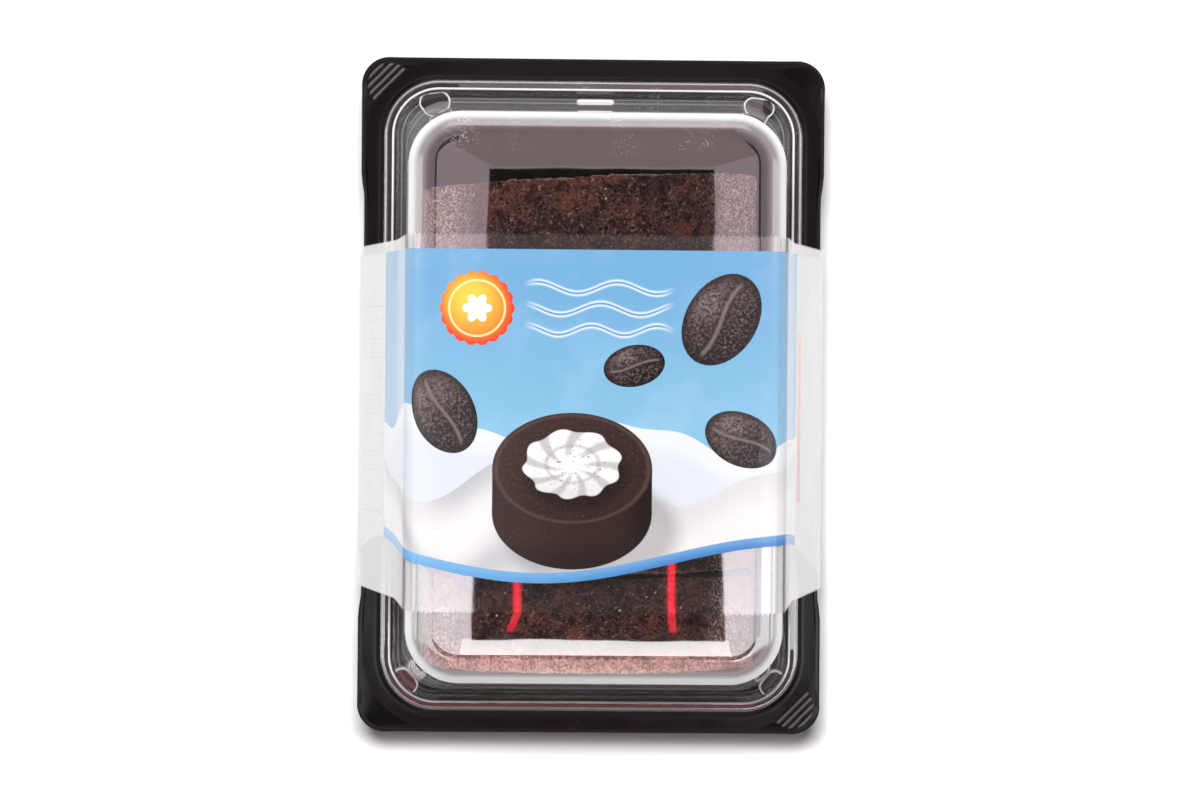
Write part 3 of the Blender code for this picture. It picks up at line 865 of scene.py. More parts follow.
def paint_print(u, v, texture, soft):
    """Colour of the printed ink, and how much of the film it covers."""
    side = abs(u)
    sky = coated(
        blend(v.step(-0.015, 0.028), SKY_LOW, SKY_HIGH),
        # Painted shade where the band turns down past the shoulders
        (side.step(0.034, 0.044) * 0.45, SKY_EDGE_SHADE),
        (soft.step(0.45, 0.75) * 0.12, SKY_HAZE),
        # Painted highlight along the band's bend
        (side.step(0.0385, 0.0440) * side.step(0.0540, 0.0480) * 0.35, SKY_BEND_HIGHLIGHT),
    )

    # Two far hills of cream, then the near one, highest on the left
    over_far = v - (u.wave(0.047, 0.6) * 0.0030 + u.wave(0.021, 1.9) * 0.0011 - u * 0.055 - 0.0075)
    over_near = v - (u.wave(0.060, 2.7) * 0.0045 + u.wave(0.026, 0.4) * 0.0013 - 0.0170)
    fold = (over_near * 0.8 + u * 0.55 + u.wave(0.034, 1.2) * 0.0035).wave(0.0170) * 0.5 + 0.5
    near_hill = coated(
        WHITE_INK,
        (fold * fold * u.step(0.020, -0.020) * 0.75, GREY_INK),
        (over_near.step(0.0035, -0.001) * over_near.step(-0.009, 0.0) * 0.35, GREY_INK),
    )
    colour = coated(
        sky,
        (over_far.below(0.0), FAR_INK),
        (over_far.step(-0.0015, -0.0075) * over_far.below(0.0) * 0.35, FAR_SHADE),
        (over_near.below(0.0), near_hill),
    )

    for place, half, degrees in BEANS:
        colour = paint_bean(colour, u, v, place, half, degrees, texture)
    colour = paint_cake(colour, u, v, CAKE_PLACE, CAKE_RADIUS, texture)
    colour = paint_seal(colour, u, v, SEAL_PLACE, SEAL_RADIUS)

    # Thin white scrolls in the sky
    for base, height, wavelength, shift in SCROLLS:
        off = abs(v - base - u.wave(wavelength, shift) * height)
        reach = u.above(SCROLL_START, 0.002) * u.below(SCROLL_END, 0.002)
        colour = blend(off.below(0.00062, 0.00030) * reach * 0.85, colour, SCROLL_WHITE)
        colour = blend(off.below(0.00022, 0.00010) * reach, colour, SCROLL_CORE)

    # A blue ribbon along the print's lower edge, and the panels
    over_lower = v - (u.wave(0.110, -0.9) * 0.0042 - 0.0352)
    ribbon = blend(u.step(-0.05, 0.03), STRIPE_LIGHT, STRIPE_DARK)
    ribbon = blend(over_lower.step(0.0, 0.0022) * 0.4, ribbon, STRIPE_RIM)
    beside = u.below(PRINT_LEFT, 0.0003) + u.above(PRINT_RIGHT, 0.0003)
    colour = coated(colour, (over_lower.below(0.0022), ribbon), (beside, paint_panel(u, v, soft)))
    return colour, v.below(PRINT_TOP) * over_lower.above(0.0)


def film_material():
    """Printed film: ink where the print covers it, and clear film along its edges."""
    material, tree = new_material("printed film")
    uv = field(tree, "ShaderNodeUVMap", 0, uv_map="print")
    parts = add_node(tree, "ShaderNodeSeparateXYZ", {"Vector": uv}).outputs
    u, v = Field(tree, parts[0]), Field(tree, parts[1])
    place = axes(tree)[3]
    normal = bump(noise(place, 0.020, 1.0), 0.00002)
    colour, cover = paint_print(u, v, noise(place, 0.00060, 3.0, 0.7), noise(place, 0.013, 3.0, 0.5))
    glossy = {"Base Color": colour, "Roughness": 0.14, "IOR": 1.36, "Normal": normal}
    ink = add_node(tree, "ShaderNodeBsdfPrincipled", glossy).outputs[0]
    # Milk of the clear film: a little haze all over and a little more on the far half, and much more where the film
    # turns down the sides, which is a painted reflection
    haze = v.above(0.0, 0.01) * 0.015 + abs(u).step(0.043, 0.050) * 0.28 + 0.015
    return finished(material, mix_shader(tree, cover, clear_sheet(FILM_TINT, FILM_ROUGHNESS, normal, haze), ink))


# Mesh building

def add_object(name, mesh, material):
    mesh.materials.append(material)
    made = bpy.data.objects.new(name, mesh)
    bpy.context.scene.collection.objects.link(made)
    return made


def mesh_object(name, points, faces, material):
    """An object of these faces, turned out and shaded."""
    mesh = bpy.data.meshes.new(name)
    mesh.from_pydata([tuple(point) for point in points], [], faces)
    mesh.update()
    built = bmesh.new()
    built.from_mesh(mesh)
    bmesh.ops.recalc_face_normals(built, faces=built.faces)
    built.to_mesh(mesh)
    built.free()
    mesh.shade_smooth()
    mesh.set_sharp_from_angle(angle=SMOOTH_ANGLE)
    return add_object(name, mesh, material)


def apply_modifiers(piece):
    """Turns what the modifiers give into the piece's own mesh."""
    bpy.context.view_layer.update()
    graph = bpy.context.evaluated_depsgraph_get()
    mesh = bpy.data.meshes.new_from_object(piece.evaluated_get(graph))
    piece.modifiers.clear()
    old = piece.data
    piece.data = mesh
    bpy.data.meshes.remove(old)


def unite(piece, tool, **settings):
    """Joins the tool to the piece, and deletes it."""
    join = piece.modifiers.new("Join", "BOOLEAN")
    join.operation = "UNION"
    join.object = tool
    for key, value in settings.items():
        setattr(join, key, value)
    apply_modifiers(piece)
    bpy.data.objects.remove(tool)


def smooth_share(value, low, high):
    share = np.clip((value - low) / (high - low), 0, 1)
    return share * share * (3 - 2 * share)


def side_shares(steps, dense_steps=0, dense_share=0.0):
    """Places along a straight side as shares of its half length, closer together in the middle if asked."""
    places = set(np.round(np.linspace(-1, 1, steps + 2)[1:-1], 6))
    if dense_steps:
        places = {place for place in places if abs(place) > dense_share}
        places |= set(np.round(np.linspace(-dense_share, dense_share, dense_steps), 6))
    return np.array(sorted(places))


LONG_SHARES = side_shares(LONG_STEPS)
SHORT_SHARES = side_shares(SHORT_STEPS, SLOT_STEPS, SLOT_SHARE)


def level(x, y, height):
    """Points at one height, with x and y as arrays or single numbers."""
    return np.stack(np.broadcast_arrays(x, y, height), 1)


def ring(half_x, half_y, corner, height, waist=0.0, lift=0.0):
    """One level outline, anticlockwise from the right side. waist draws the middle of the long sides in."""
    straight_x, straight_y = half_x - corner, half_y - corner
    arc = np.linspace(0, math.pi / 2, CORNER_STEPS + 1)
    pieces = []
    for quarter in range(4):
        side = 1 if quarter in (0, 3) else -1
        end = 1 if quarter in (0, 1) else -1
        if quarter in (0, 2):
            y = side * LONG_SHARES * straight_y
            drawn_in = waist * (1 - smooth_share(abs(y), WAIST_REACH, TAB_REACH))
            pieces.append(level(side * (half_x - drawn_in), y, height))
        else:
            pieces.append(level(-end * SHORT_SHARES * straight_x, end * half_y, height))
        angle = arc + quarter * math.pi / 2
        x = side * straight_x + corner * np.cos(angle)
        pieces.append(level(x, end * straight_y + corner * np.sin(angle), height + lift))
    return np.concatenate(pieces)


def bead_corner(inset):
    """Corner of a ring that runs round with the bead, which is wider than the tray's own."""
    return max(BASE_CORNER, BEAD_CORNER + BEAD_INSET - inset)


def bead_ring(inset, height, waist=0.0):
    return ring(PACK_WIDTH / 2 - inset, PACK_LENGTH / 2 - inset, bead_corner(inset), height, waist)


def edge_ring(inset, height):
    """A ring that runs round with the tray's outer edge, and rises at the corner tabs."""
    corner = OUTER_CORNER - inset
    return ring(PACK_WIDTH / 2 - inset, PACK_LENGTH / 2 - inset, corner, height, WAIST, TAB_LIFT)


def parallel(path, distance):
    """The path moved sideways, to the left of its own direction, with its corners mitred."""
    points = [Vector(point) for point in path]
    headings = [(after - before).normalized() for before, after in zip(points, points[1:])]
    moved = []
    for i, here in enumerate(points):
        arriving = headings[max(i - 1, 0)]
        leaving = headings[min(i, len(headings) - 1)]
        along = (arriving + leaving).normalized()
        sideways = Vector((-along.y, along.x))
        moved.append(tuple(here + sideways * distance / sideways.dot(Vector((-leaving.y, leaving.x)))))
    return moved


def rounded(path, radius, steps=ROUNDING_STEPS):
    """The path with each inner corner turned into a short curve that starts a radius away from it."""
    points = [np.array(point, float) for point in path]
    smooth = [points[0]]
    for before, here, after in zip(points, points[1:], points[2:]):
        back, forth = before - here, after - here
        start = here + back * min(radius / np.linalg.norm(back), 0.45)
        end = here + forth * min(radius / np.linalg.norm(forth), 0.45)
        for step in range(steps + 1):
            share = step / steps
            smooth.append((1 - share) ** 2 * start + 2 * share * (1 - share) * here + share**2 * end)
    smooth.append(points[-1])
    return smooth


def loft(rows, close=False):
    """Points and faces through rings of equal count, capped at both ends or closed on itself."""
    count = len(rows[0])
    faces = []
    links = list(zip(range(len(rows) - 1), range(1, len(rows))))
    if close:
        links.append((len(rows) - 1, 0))
    for low, high in links:
        a, b = low * count, high * count
        faces += [(a + i, a + (i + 1) % count, b + (i + 1) % count, b + i) for i in range(count)]
    if not close:
        faces.append(tuple(range(count)))
        faces.append(tuple(range((len(rows) - 1) * count, len(rows) * count)))
    return np.concatenate(rows), faces


# Tray

def tray_rings(path, bead_count, rim_count):
    """Rings for a rounded path, with rows added between its rim and its edge for the relief of the tabs."""
    inset, height = path[0]
    rings = [bead_ring(inset + inward, height) for inward in FLAT_STEPS]
    rings += [bead_ring(*point) for point in path[:bead_count]]
    rings += [bead_ring(*point, WAIST) for point in path[bead_count : bead_count + rim_count]]
    edge = [edge_ring(*point) for point in path[bead_count + rim_count :]]
    shares = np.linspace(0, 1, TAB_ROWS + 2)[1:-1]
    rings += [rings[-1] * (1 - share) + edge[0] * share for share in shares]
    return rings + edge


def grip_rise(points):
    """Height of the grip ribs over two opposite corner tabs."""
    rise = np.zeros(len(points))
    for side in (-1, 1):
        corner = np.array([-side * (PACK_WIDTH / 2 - OUTER_CORNER), side * (PACK_LENGTH / 2 - OUTER_CORNER)])
        outward = np.array([-side, side]) / math.sqrt(2)
        across = np.array([side, side]) / math.sqrt(2)
        local = points[:, :2] - corner
        distance, reach = local @ outward, abs(local @ across)
        for i in range(GRIP_COUNT):
            middle = GRIP_FIRST + i * GRIP_PITCH
            half_length = math.sqrt(GRIP_REACH**2 - middle**2)
            ridge = np.clip(1 - abs(distance - middle) / GRIP_HALF_WIDTH, 0, 1)
            ends = 1 - smooth_share(reach, half_length - GRIP_END, half_length)
            rise = np.maximum(rise, GRIP_HEIGHT * smooth_share(ridge, 0, 1) * ends)
    return rise


def foot_outline(x, y, radius, height):
    angles = np.linspace(0, math.pi, FOOT_STEPS + 1)
    right = [(x + FOOT_HALF_LENGTH + radius * math.sin(a), y - radius * math.cos(a), height) for a in angles]
    left = [(x - FOOT_HALF_LENGTH - radius * math.sin(a), y + radius * math.cos(a), height) for a in angles]
    return np.array(right + left)


def make_feet(material):
    levels = (
        (FOOT_RADIUS + FOOT_SPREAD, FOOT_TOP),
        (FOOT_RADIUS + FOOT_SPREAD / 3, FOOT_TOP * 0.25),
        (FOOT_RADIUS, 0.0),
    )
    points, faces = [], []
    for x in (-FOOT_X, FOOT_X):
        for y in (-FOOT_Y, FOOT_Y):
            more, more_faces = loft([foot_outline(x, y, radius, height) for radius, height in levels])
            faces += [tuple(i + len(points) for i in face) for face in more_faces]
            points += list(more)
    return mesh_object("tray_feet", points, faces, material)


def make_tray(material):
    parts = (TRAY_BASE_PATH, TRAY_BEAD_PATH, TRAY_RIM_PATH, TRAY_EDGE_PATH)
    upper_path = [point for part in parts for point in part]
    bead_count = 1 + (len(TRAY_BASE_PATH) + len(TRAY_BEAD_PATH) - 1) * (ROUNDING_STEPS + 1)
    rim_count = len(TRAY_RIM_PATH) * (ROUNDING_STEPS + 1)
    rows = []
    for path in (upper_path, parallel(upper_path, TRAY_WALL)):
        rings = tray_rings(rounded(path, PATH_ROUNDING), bead_count, rim_count)
        for points in rings[len(FLAT_STEPS) + bead_count :]:
            points[:, 2] += grip_rise(points)
        rows.append(rings)
    tray = mesh_object("black_tray", *loft(rows[0] + rows[1][::-1]), material)
    unite(tray, make_feet(material))
    tray.data.set_sharp_from_angle(angle=SMOOTH_ANGLE)
    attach(tray, "root")
    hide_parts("tray")
    return tray


# Lid

def make_lug(x, y, half, radius, degrees, top, material):
    """An oval boss of the lid, upright, with a rounded top edge."""
    edge = min(LUG_EDGE, radius)
    levels = [(0.0, LUG_BASE), (0.0, top - edge)]
    for step in range(1, LUG_EDGE_STEPS + 1):
        angle = step / LUG_EDGE_STEPS * math.pi / 2
        levels.append((edge * (1 - math.cos(angle)), top - edge * (1 - math.sin(angle))))
    levels.append((min(edge * 1.6, radius * 0.97), top))
    cos, sin = math.cos(math.radians(degrees)), math.sin(math.radians(degrees))
    arc = np.linspace(-math.pi / 2, math.pi / 2, LUG_STEPS)
    rows = []
    for inset, height in levels:
        reach = max(radius - inset, radius * 0.02)
        along = np.concatenate([half + reach * np.cos(arc), -half - reach * np.cos(arc)])
        across = np.concatenate([reach * np.sin(arc), -reach * np.sin(arc)])
        rows.append(level(x + along * cos - across * sin, y + along * sin + across * cos, height))
    return mesh_object("lug", *loft(rows), material)


def split_long(specs, most):
    """Adds specs where two of them are further apart than most."""
    split = [specs[0]]
    for before, after in zip(specs, specs[1:]):
        before, after = np.array(before), np.array(after)
        span = math.hypot(after[0] - before[0], after[3] - before[3])
        count = max(1, min(CHANNEL_ROWS, math.ceil(span / most)))
        split += [before + (after - before) * (step + 1) / count for step in range(count)]
    return split


def lid_rings(offset, wall):
    """Rings of one face of the lid, from the middle of its top to its outer edge."""
    shoulder_x, shoulder_y = DOME_SHOULDER_HALF
    levels = [(DOME_FILLET + inward, DOME_TOP - wall) for inward in FLAT_STEPS]
    for step in range(DOME_FILLET_STEPS + 1):
        angle = (1 - step / DOME_FILLET_STEPS) * math.pi / 2
        inset = DOME_FILLET - (DOME_FILLET - wall) * math.cos(angle)
        levels.append((inset, DOME_TOP - DOME_FILLET + (DOME_FILLET - wall) * math.sin(angle)))
    specs = [
        (shoulder_x - inset, shoulder_y - inset, DOME_SHOULDER_CORNER - inset, height) for inset, height in levels
    ]

    # The wall, with rings closer together near its foot, and the foot
    foot_x, foot_y = (half - wall for half in DOME_BASE_HALF)
    drop = DOME_FOOT_DROP if wall else 0.0
    foot = (foot_x, foot_y, DOME_BASE_CORNER - wall, DOME_BASE_HEIGHT - drop)
    top = np.array(specs.pop())
    shares = [1 - (1 - step / WALL_ROWS) ** WALL_CROWDING for step in range(WALL_ROWS)]
    wall_specs = [top + (np.array(foot) - top) * share for share in shares]

    # The channel and the bead, over the tray's
    bead = slice(len(TRAY_BASE_PATH), len(TRAY_BASE_PATH) + LID_BEAD_POINTS)
    channel = [wall_specs.pop(), foot]
    for inset, height in parallel(TRAY_BASE_PATH + TRAY_BEAD_PATH + TRAY_RIM_PATH, offset)[bead]:
        channel.append((PACK_WIDTH / 2 - inset, PACK_LENGTH / 2 - inset, bead_corner(inset), height))
    specs += wall_specs + split_long(rounded(channel, PATH_ROUNDING), CHANNEL_STEP)
    return [ring(*spec) for spec in specs]


def make_lid(material):
    outer, inner = lid_rings(-GAP - LID_WALL, 0.0), lid_rings(-GAP, LID_WALL)
    lid = mesh_object("clear_lid", *loft(outer + inner[::-1]), material)
    for lug in LUGS:
        unite(lid, make_lug(*lug, material), solver="MANIFOLD")
    lid.data.set_sharp_from_angle(angle=SMOOTH_ANGLE)
    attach(lid, "root")
    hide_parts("lid")
    return lid


# Film band

def belt(circles, offset, step_length):
    """Outline of a taut belt round circles, which are (x, z, radius) anticlockwise, kept off them by offset."""
    turns = []
    for (x, z, radius), (next_x, next_z, next_radius) in zip(circles, circles[1:] + circles[:1]):
        heading = math.atan2(next_z - z, next_x - x)
        lean = math.asin((radius - next_radius) / math.hypot(next_x - x, next_z - z))
        turns.append(heading - math.pi / 2 + lean)
    corners = []
    for i, (x, z, radius) in enumerate(circles):
        turn = (turns[i] - turns[i - 1]) % (2 * math.pi)
        steps = max(3, math.ceil(turn * (radius + BAND_OFFSET) / step_length))
        for step in range(steps + 1):
            angle = turns[i - 1] + turn * step / steps
            reach = radius + offset
            corners.append((x + reach * math.cos(angle), z + reach * math.sin(angle)))
    return corners


def band_circles():
    half = PACK_WIDTH / 2 - WAIST
    under = TRAY_BASE_PATH[0][1] - TRAY_WALL
    keel = (PACK_WIDTH / 2 - BAND_KEEL_INSET, under + BAND_KEEL_RADIUS, BAND_KEEL_RADIUS)
    skirt = (half - BAND_SKIRT_RADIUS, TRAY_EDGE_PATH[-1][1] + BAND_SKIRT_RADIUS, BAND_SKIRT_RADIUS)
    lip = (half - BAND_LIP_RADIUS, TRAY_EDGE_PATH[0][1] - BAND_LIP_RADIUS, BAND_LIP_RADIUS)
    dome = (DOME_SHOULDER_HALF[0] - DOME_FILLET, DOME_TOP - DOME_FILLET, DOME_FILLET)
    right = [keel, skirt, lip, dome]
    return right + [(-x, z, radius) for x, z, radius in right[::-1]]


def map_print(mesh, around, rows, total_length):
    """Lays the print's u and v on the band, whose faces all have four corners.

    Each face's corners stay on one side of the place, under the pack, where u starts again.
    """
    corner_points = np.empty(len(mesh.loops), np.int32)
    mesh.loops.foreach_get("vertex_index", corner_points)
    u = np.tile(around, len(rows))[corner_points].reshape(-1, 4)
    wrapped = (u.max(1) - u.min(1) > total_length / 2)[:, None] & (u < 0)
    u = np.where(wrapped, u + total_length, u).ravel()
    uv = np.stack([u, np.concatenate(rows)[corner_points]], 1)
    mesh.uv_layers.new(name="print").data.foreach_set("uv", uv.astype(np.float32).ravel())


def make_band(material):
    """The film as two faces joined by toothed edges, with a map of the print on it."""
    sides = [np.array(belt(band_circles(), offset, BELT_STEP)) for offset in (BAND_OFFSET, BAND_OFFSET - FILM_WALL)]
    spans = np.linalg.norm(np.roll(sides[0], -1, 0) - sides[0], axis=1)
    length_so_far = np.concatenate([[0], np.cumsum(spans)])
    total_length = length_so_far[-1]
    places = np.linspace(0, total_length, int(total_length / BAND_STEP), endpoint=False)
    closed = [np.vstack([line, line[:1]]) for line in sides]
    outer, inner = (
        np.stack([np.interp(places, length_so_far, line[:, i]) for i in range(2)], 1) for line in closed
    )
    top_middle = places[np.argmin(abs(outer[:, 0]) + (outer[:, 1] < DOME_TOP / 2) * 1.0)]
    around = -((places - top_middle + total_length / 2) % total_length - total_length / 2)
    tooth = abs((places / TOOTH_PITCH) % 1 * 2 - 1) * TOOTH_DEPTH
    bow = smooth_share(outer[:, 1], BOW_START, DOME_TOP) * 2 - 1
    rows, v_rows = [], []
    for line, direction in ((outer, 1), (inner, -1)):
        for step in range(BAND_ROWS + 1):
            share = direction * (2 * step / BAND_ROWS - 1)
            along = BAND_CENTRE_Y + share * (BAND_WIDTH / 2 - tooth)
            along = along + (BOW_LOW if share < 0 else BOW_HIGH) * share * bow
            rows.append(np.stack([line[:, 0], along, line[:, 1]], 1))
            v_rows.append(along)
    band = mesh_object("film_band", *loft(rows, close=True), material)
    map_print(band.data, around, v_rows, total_length)
    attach(band, "root")
    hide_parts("band")
    return band


# Cake

def roll_radius(angle):
    """Distance from the roll's axis to its surface."""
    power = ROLL_UPPER_POWER if math.sin(angle) > 0 else ROLL_LOWER_POWER
    across = abs(math.cos(angle)) / (ROLL_WIDTH / 2)
    up = abs(math.sin(angle)) / (ROLL_HEIGHT / 2)
    return (across**power + up**power) ** (-1 / power)


def smooth_value(knots, place):
    """Height of a smooth curve through (place, value) knots."""
    last = len(knots) - 2
    i = min(sum(knot <= place for knot, _ in knots[1:]), last)
    share = min(max((place - knots[i][0]) / (knots[i + 1][0] - knots[i][0]), 0.0), 1.0)

    def slope(k):
        before, after = knots[max(k - 1, 0)], knots[min(k + 1, last + 1)]
        return (after[1] - before[1]) / (after[0] - before[0])

    span = knots[i + 1][0] - knots[i][0]
    start, rise = knots[i][1], knots[i + 1][1] - knots[i][1]
    bend, finish = slope(i) * span, slope(i + 1) * span
    square = 3 * rise - 2 * bend - finish
    cube = bend + finish - 2 * rise
    return start + share * (bend + share * (square + share * cube))


def spread(start, end):
    count = round(abs(end - start) / CREAM_STEP)
    return [start + (end - start) * i / count for i in range(count + 1)]


def section_point(angle, distance, shift):
    """A point of the roll's section as (x, z, 0), at an angle and a distance from the roll's axis."""
    x = ROLL_CENTRE_X + shift + distance * math.cos(angle)
    return Vector((x, ROLL_CENTRE_Z + distance * math.sin(angle), 0.0))


def sponge_outline(seam, shift, inset):
    """The roll's outer face, nicked where the strip of sponge ends, and drawn in by inset."""
    points = []
    for step in range(ROLL_OUTLINE_STEPS):
        around = (step / ROLL_OUTLINE_STEPS) * 2 * math.pi
        off_seam = min(around, 2 * math.pi - around)
        share = 1 - SEAM_NOTCH * math.exp(-((off_seam / SEAM_SPREAD) ** 2))
        angle = seam + around
        points.append(section_point(angle, share * roll_radius(angle) - inset, shift))
    return points


def cream_outline(seam, shift, clearance, end_clearance):
    """The cream's outline: in along the sponge's inner face, round the tongue's tip and back to the tail."""
    points = []
    for knots, first, last, outward in ((WINDING, 0, -1, -clearance), (TONGUE, -1, 0, clearance)):
        for degrees in spread(knots[first][0] + end_clearance, knots[last][0] + end_clearance):
            angle = seam + math.radians(degrees)
            distance = smooth_value(knots, degrees) * roll_radius(angle) + outward
            points.append(section_point(angle, distance, shift))
    return points


def slab(name, outlines, near_cut, far_cut, inset, material):
    """A body with the outlines as its section, the later ones holes, between two leaning cuts."""
    corners = [point for outline in outlines for point in outline]
    count = len(corners)
    points, faces = [], []
    for (place, across, up), inward in ((near_cut, 1), (far_cut, -1)):
        start = place + inward * (CUT_GAP / 2 + inset)
        points += [(x, start + across * x + up * (z - ROLL_CENTRE_Z), z) for x, z, _ in corners]
    for triangle in tessellate_polygon(outlines):
        faces.append(tuple(triangle))
        faces.append(tuple(i + count for i in triangle))
    first = 0
    for outline in outlines:
        for i in range(len(outline)):
            a = first + i
            b = first + (i + 1) % len(outline)
            faces.append((a, b, b + count, a + count))
        first += len(outline)
    return mesh_object(name, points, faces, material)


def soften(piece, voxel, reliefs):
    """Remeshes a body of cake finely and gives it relief, whose blobs are about their size across."""
    remesh = piece.modifiers.new("Voxels", "REMESH")
    remesh.mode = "VOXEL"
    remesh.voxel_size = voxel
    remesh.adaptivity = 0.0
    for name, kind, size, strength, middle, settings in reliefs:
        texture = bpy.data.textures.new(name, kind)
        texture.noise_scale = size
        for key, value in settings.items():
            setattr(texture, key, value)
        displace = piece.modifiers.new(name, "DISPLACE")
        displace.texture = texture
        displace.texture_coords = "GLOBAL"
        displace.strength = strength
        displace.mid_level = middle
    apply_modifiers(piece)
    piece.data.shade_smooth()


def make_slices(sponge, cream):
    sponges, creams = [], []
    for i, cuts in enumerate(zip(CUTS, CUTS[1:])):
        shown = i in (0, len(CUTS) - 2)
        seam = SEAM_ANGLE + i * SLICE_TWIST
        shift = SLICE_SHIFTS[i]
        hollow = cream_outline(seam, shift, -CREAM_CLEARANCE, 0.0)
        body = [sponge_outline(seam, shift, SPONGE_INSET), hollow]
        slice_piece = slab(f"sponge_slice_{i + 1}", body, *cuts, SPONGE_INSET / 2, sponge)
        voxel, reliefs = (SHOWN_VOXEL, SPONGE_RELIEF + PORE_RELIEF) if shown else (HIDDEN_VOXEL, SPONGE_RELIEF)
        soften(slice_piece, voxel, reliefs)
        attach(slice_piece, "root")
        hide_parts(f"sponge_{i + 1}")

        filling = cream_outline(seam, shift, CREAM_CLEARANCE, CREAM_END_CLEARANCE)
        cream_piece = slab(f"cream_filling_{i + 1}", [filling], *cuts, CREAM_SINK, cream)
        soften(cream_piece, CREAM_VOXEL, CREAM_RELIEF)
        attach(cream_piece, "root")
        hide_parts(f"cream_{i + 1}")
        sponges.append(slice_piece)
        creams.append(cream_piece)
    return sponges, creams


# Studio

def make_camera():
    camera = bpy.data.objects.new("camera", bpy.data.cameras.new("camera"))
    bpy.context.scene.collection.objects.link(camera)
    camera.data.lens = CAMERA_LENS
    camera.data.sensor_width = CAMERA_SENSOR
    place, aim = Vector(CAMERA_PLACE), Vector(CAMERA_AIM)
    back = (place - aim).normalized()
    right = Vector((0, 1, 0)).cross(back).normalized()
    up = back.cross(right)
    facing = Matrix((right, up, back)).transposed()
    camera.matrix_world = Matrix.Translation(place) @ (facing @ Matrix.Rotation(CAMERA_ROLL, 3, "Z")).to_4x4()
    bpy.context.scene.camera = camera


def add_stage(name, mesh, material, rays=None):
    """A thing of the studio. With rays, only the camera or only the gloss sees it, and it lights nothing."""
    made = add_object(name, mesh, material)
    if rays:
        for kind in ("camera", "diffuse", "glossy", "transmission", "shadow"):
            setattr(made, f"visible_{kind}", kind == rays)


def add_sheets(name, plans, height, material, rays=None):
    """Level sheets of the studio, given by their plans."""
    points, faces = [], []
    for plan in plans:
        faces.append(tuple(range(len(points), len(points) + len(plan))))
        points += [(x, y, height) for x, y in plan]
    mesh = bpy.data.meshes.new(name)
    mesh.from_pydata(points, [], faces)
    add_stage(name, mesh, material, rays)


def rectangle(low_x, high_x, low_y, high_y):
    return ((low_x, low_y), (high_x, low_y), (high_x, high_y), (low_x, high_y))


def add_ball(name, radius, material, rays):
    ball = bmesh.new()
    bmesh.ops.create_uvsphere(ball, u_segments=48, v_segments=24, radius=radius)
    mesh = bpy.data.meshes.new(name)
    ball.to_mesh(mesh)
    ball.free()
    add_stage(name, mesh, material, rays)


def add_card(name, plan, drop, colour, strength):
    """A card overhead that only the gloss sees."""
    material, _ = new_material(name)
    add_sheets(name, [plan], CARD_HEIGHT - drop, shining(material, colour, strength), "glossy")


def floor_material():
    material, tree = new_material("pale floor")
    colour = blend(noise(axes(tree)[3], 0.05, 2.0), *FLOOR_PALE)
    return principled(material, {"Base Color": colour, "Roughness": 0.9})


def table_material():
    """White shine of the table, dimmed and tinted in a narrow ring round the pack as a painted shadow."""
    material, tree = new_material("table light")
    across, along, _, _ = axes(tree)
    away = length((abs(across) - PACK_WIDTH / 2).at_least(0.0), (abs(along) - PACK_LENGTH / 2).at_least(0.0))
    # Painted shadow: the shine is dimmed and tinted close round the pack
    past_painted_shadow = away.step(*PAINTED_SHADOW_FADE)
    glow = {"Color": blend(past_painted_shadow, TABLE_SHADE, WHITE), "Strength": past_painted_shadow * 0.85 + away.step(0.15, 0.8) * 0.3}
    shine = add_node(tree, "ShaderNodeEmission", glow).outputs[0]
    clear = add_node(tree, "ShaderNodeBsdfTransparent", {"Color": WHITE}).outputs[0]
    return finished(material, add_node(tree, "ShaderNodeAddShader", {0: shine, 1: clear}).outputs[0])


def tent_material():
    """Light of the tent by direction.

    It is lilac overhead, white and dim near the floor, and brighter straight to the sides and to the far end. Each
    side has a white patch a little towards the near end, and beyond the near end it is rose, high up.
    """
    material, tree = new_material("tent light")
    across, along, up, _ = axes(tree)
    rise, toward, aside = up / TENT_RADIUS, along / TENT_RADIUS, abs(across / TENT_RADIUS)
    endways, sideways = aside.step(0.45, 0.25), abs(toward).step(0.30, 0.15)
    strength = TENT_TOP + rise.step(0.97, 0.60) * TENT_LOWER_GAIN - rise.step(0.55, 0.25) * TENT_FLOOR_LOSS
    end = toward.step(0.25, 0.6) * rise.step(0.62, 0.56) * rise.step(0.10, 0.40) * endways
    sides = aside.step(0.3, 0.6) * sideways * rise.step(0.62, 0.50) * rise.step(0.10, 0.22)
    strength = strength + end * TENT_END_GAIN + sides * TENT_SIDE_GAIN
    patch = aside.step(0.04, 0.12) * toward.step(0.05, -0.09) * toward.step(-0.40, -0.25) * rise.step(0.20, 0.40)
    gap = abs(aside - 0.86).below(0.035, 0.02)
    patch_strength = across.step(-0.1, 0.1) * RIGHT_PATCH_GAIN + SIDE_PATCH
    strength = strength * (1.0 - patch) + patch * patch_strength * (1.0 - gap * PATCH_GAP_LOSS)
    rose = toward.step(-0.12, -0.30) * (1.0 - patch) * endways * rise.step(0.28, 0.46)
    strength = strength * (1.0 - rose) + rose * ROSE_STRENGTH
    colour = blend((rise.step(0.5, 0.1) + patch).at_most(1.0), LILAC, COOL_WHITE)
    return shining(material, blend(rose, colour, ROSE), strength)


def flag_material():
    """The pale flags beside the opening, brighter towards the pack's near end."""
    material, tree = new_material("flags")
    fade = axes(tree)[1].step(*FLAG_FADE)
    strength = fade * (FLAG_STRENGTH - LOW_FLAG_STRENGTH) + LOW_FLAG_STRENGTH
    return shining(material, blend(fade, PALE_LILAC, LILAC), strength)


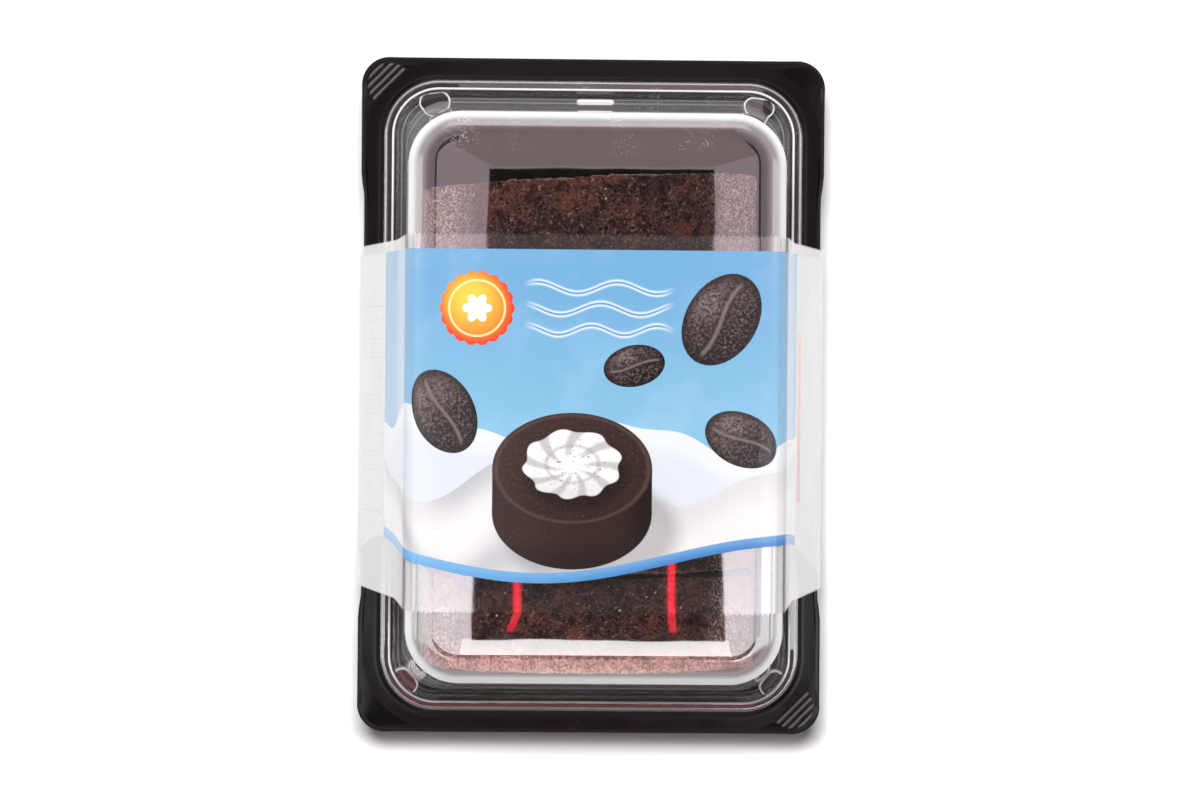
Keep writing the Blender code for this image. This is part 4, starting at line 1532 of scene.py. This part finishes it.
def make_floor_glow():
    """A bright ring on the floor round the pack, which only the gloss sees."""
    material, tree = new_material("floor glow")
    across, along, _, _ = axes(tree)
    away = length(across, along).step(FLOOR_GLOW_INNER, 0.60)
    strength = away * (GLOW_STRENGTH - NEAR_GLOW_STRENGTH) + NEAR_GLOW_STRENGTH
    steps = FLOOR_GLOW_STEPS
    turns = [2 * math.pi * i / steps for i in range(steps)]
    points = [
        (radius * math.cos(turn), radius * math.sin(turn), FLOOR_GLOW_HEIGHT)
        for radius in (FLOOR_GLOW_INNER, TENT_RADIUS)
        for turn in turns
    ]
    faces = [(i, (i + 1) % steps, steps + (i + 1) % steps, steps + i) for i in range(steps)]
    mesh = bpy.data.meshes.new("floor_glow")
    mesh.from_pydata(points, [], faces)
    add_stage("floor_glow", mesh, shining(material, COOL_WHITE, strength), "glossy")


def soft_lamp(name, place, size, energy):
    lamp = bpy.data.lights.new(name, "AREA")
    lamp.shape = "DISK"
    lamp.size = size
    lamp.energy = energy
    holder = bpy.data.objects.new(name, lamp)
    holder.location = place
    holder.rotation_euler = (-Vector(place)).to_track_quat("-Z", "Y").to_euler()
    holder.visible_glossy = False
    bpy.context.scene.collection.objects.link(holder)
    return holder


def make_studio():
    scene = bpy.context.scene
    scene.view_settings.view_transform = "Standard"
    scene.world = bpy.data.worlds.new("studio")
    scene.world.use_nodes = True
    background = scene.world.node_tree.nodes["Background"].inputs
    background["Color"].default_value = (*WHITE, 1.0)
    background["Strength"].default_value = WORLD_STRENGTH

    ground = [rectangle(-FLOOR_HALF, FLOOR_HALF, -FLOOR_HALF, FLOOR_HALF)]
    add_sheets("floor", ground, 0, floor_material())
    add_sheets("table_light", ground, TABLE_LIGHT_HEIGHT, table_material(), "camera")
    add_ball("tent", TENT_RADIUS, tent_material(), "glossy")
    for card in CARDS:
        add_card(*card)
    add_sheets("flags", [rectangle(*flag) for flag in FLAGS], CARD_HEIGHT, flag_material(), "glossy")
    make_floor_glow()
    for name, sides, drop, colour, strength in FRAMES:
        add_card(name, rectangle(*sides), drop, colour, strength)
    backdrop, _ = new_material("white backdrop")
    add_ball("backdrop", BACKDROP_RADIUS, shining(backdrop, WHITE, BACKDROP_STRENGTH), "camera")
    for name, lamp in ROOM_LAMPS.items():
        soft_lamp(name, *lamp)


def light_only(name, pieces, lamps):
    """Lamps that light these pieces alone."""
    receivers = bpy.data.collections.new(name)
    for piece in pieces:
        receivers.objects.link(piece)
    for lamp_name, lamp in lamps.items():
        soft_lamp(lamp_name, *lamp).light_linking.receiver_collection = receivers


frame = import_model()
make_camera()
make_studio()
pack = [make_tray(tray_material()), make_lid(lid_material()), make_band(film_material())]
sponges, creams = make_slices(sponge_material(), cream_material())
light_only("pack_lit", pack + sponges + creams, SIDE_LAMPS)
light_only("sponge_lit", sponges, SPONGE_LAMPS)
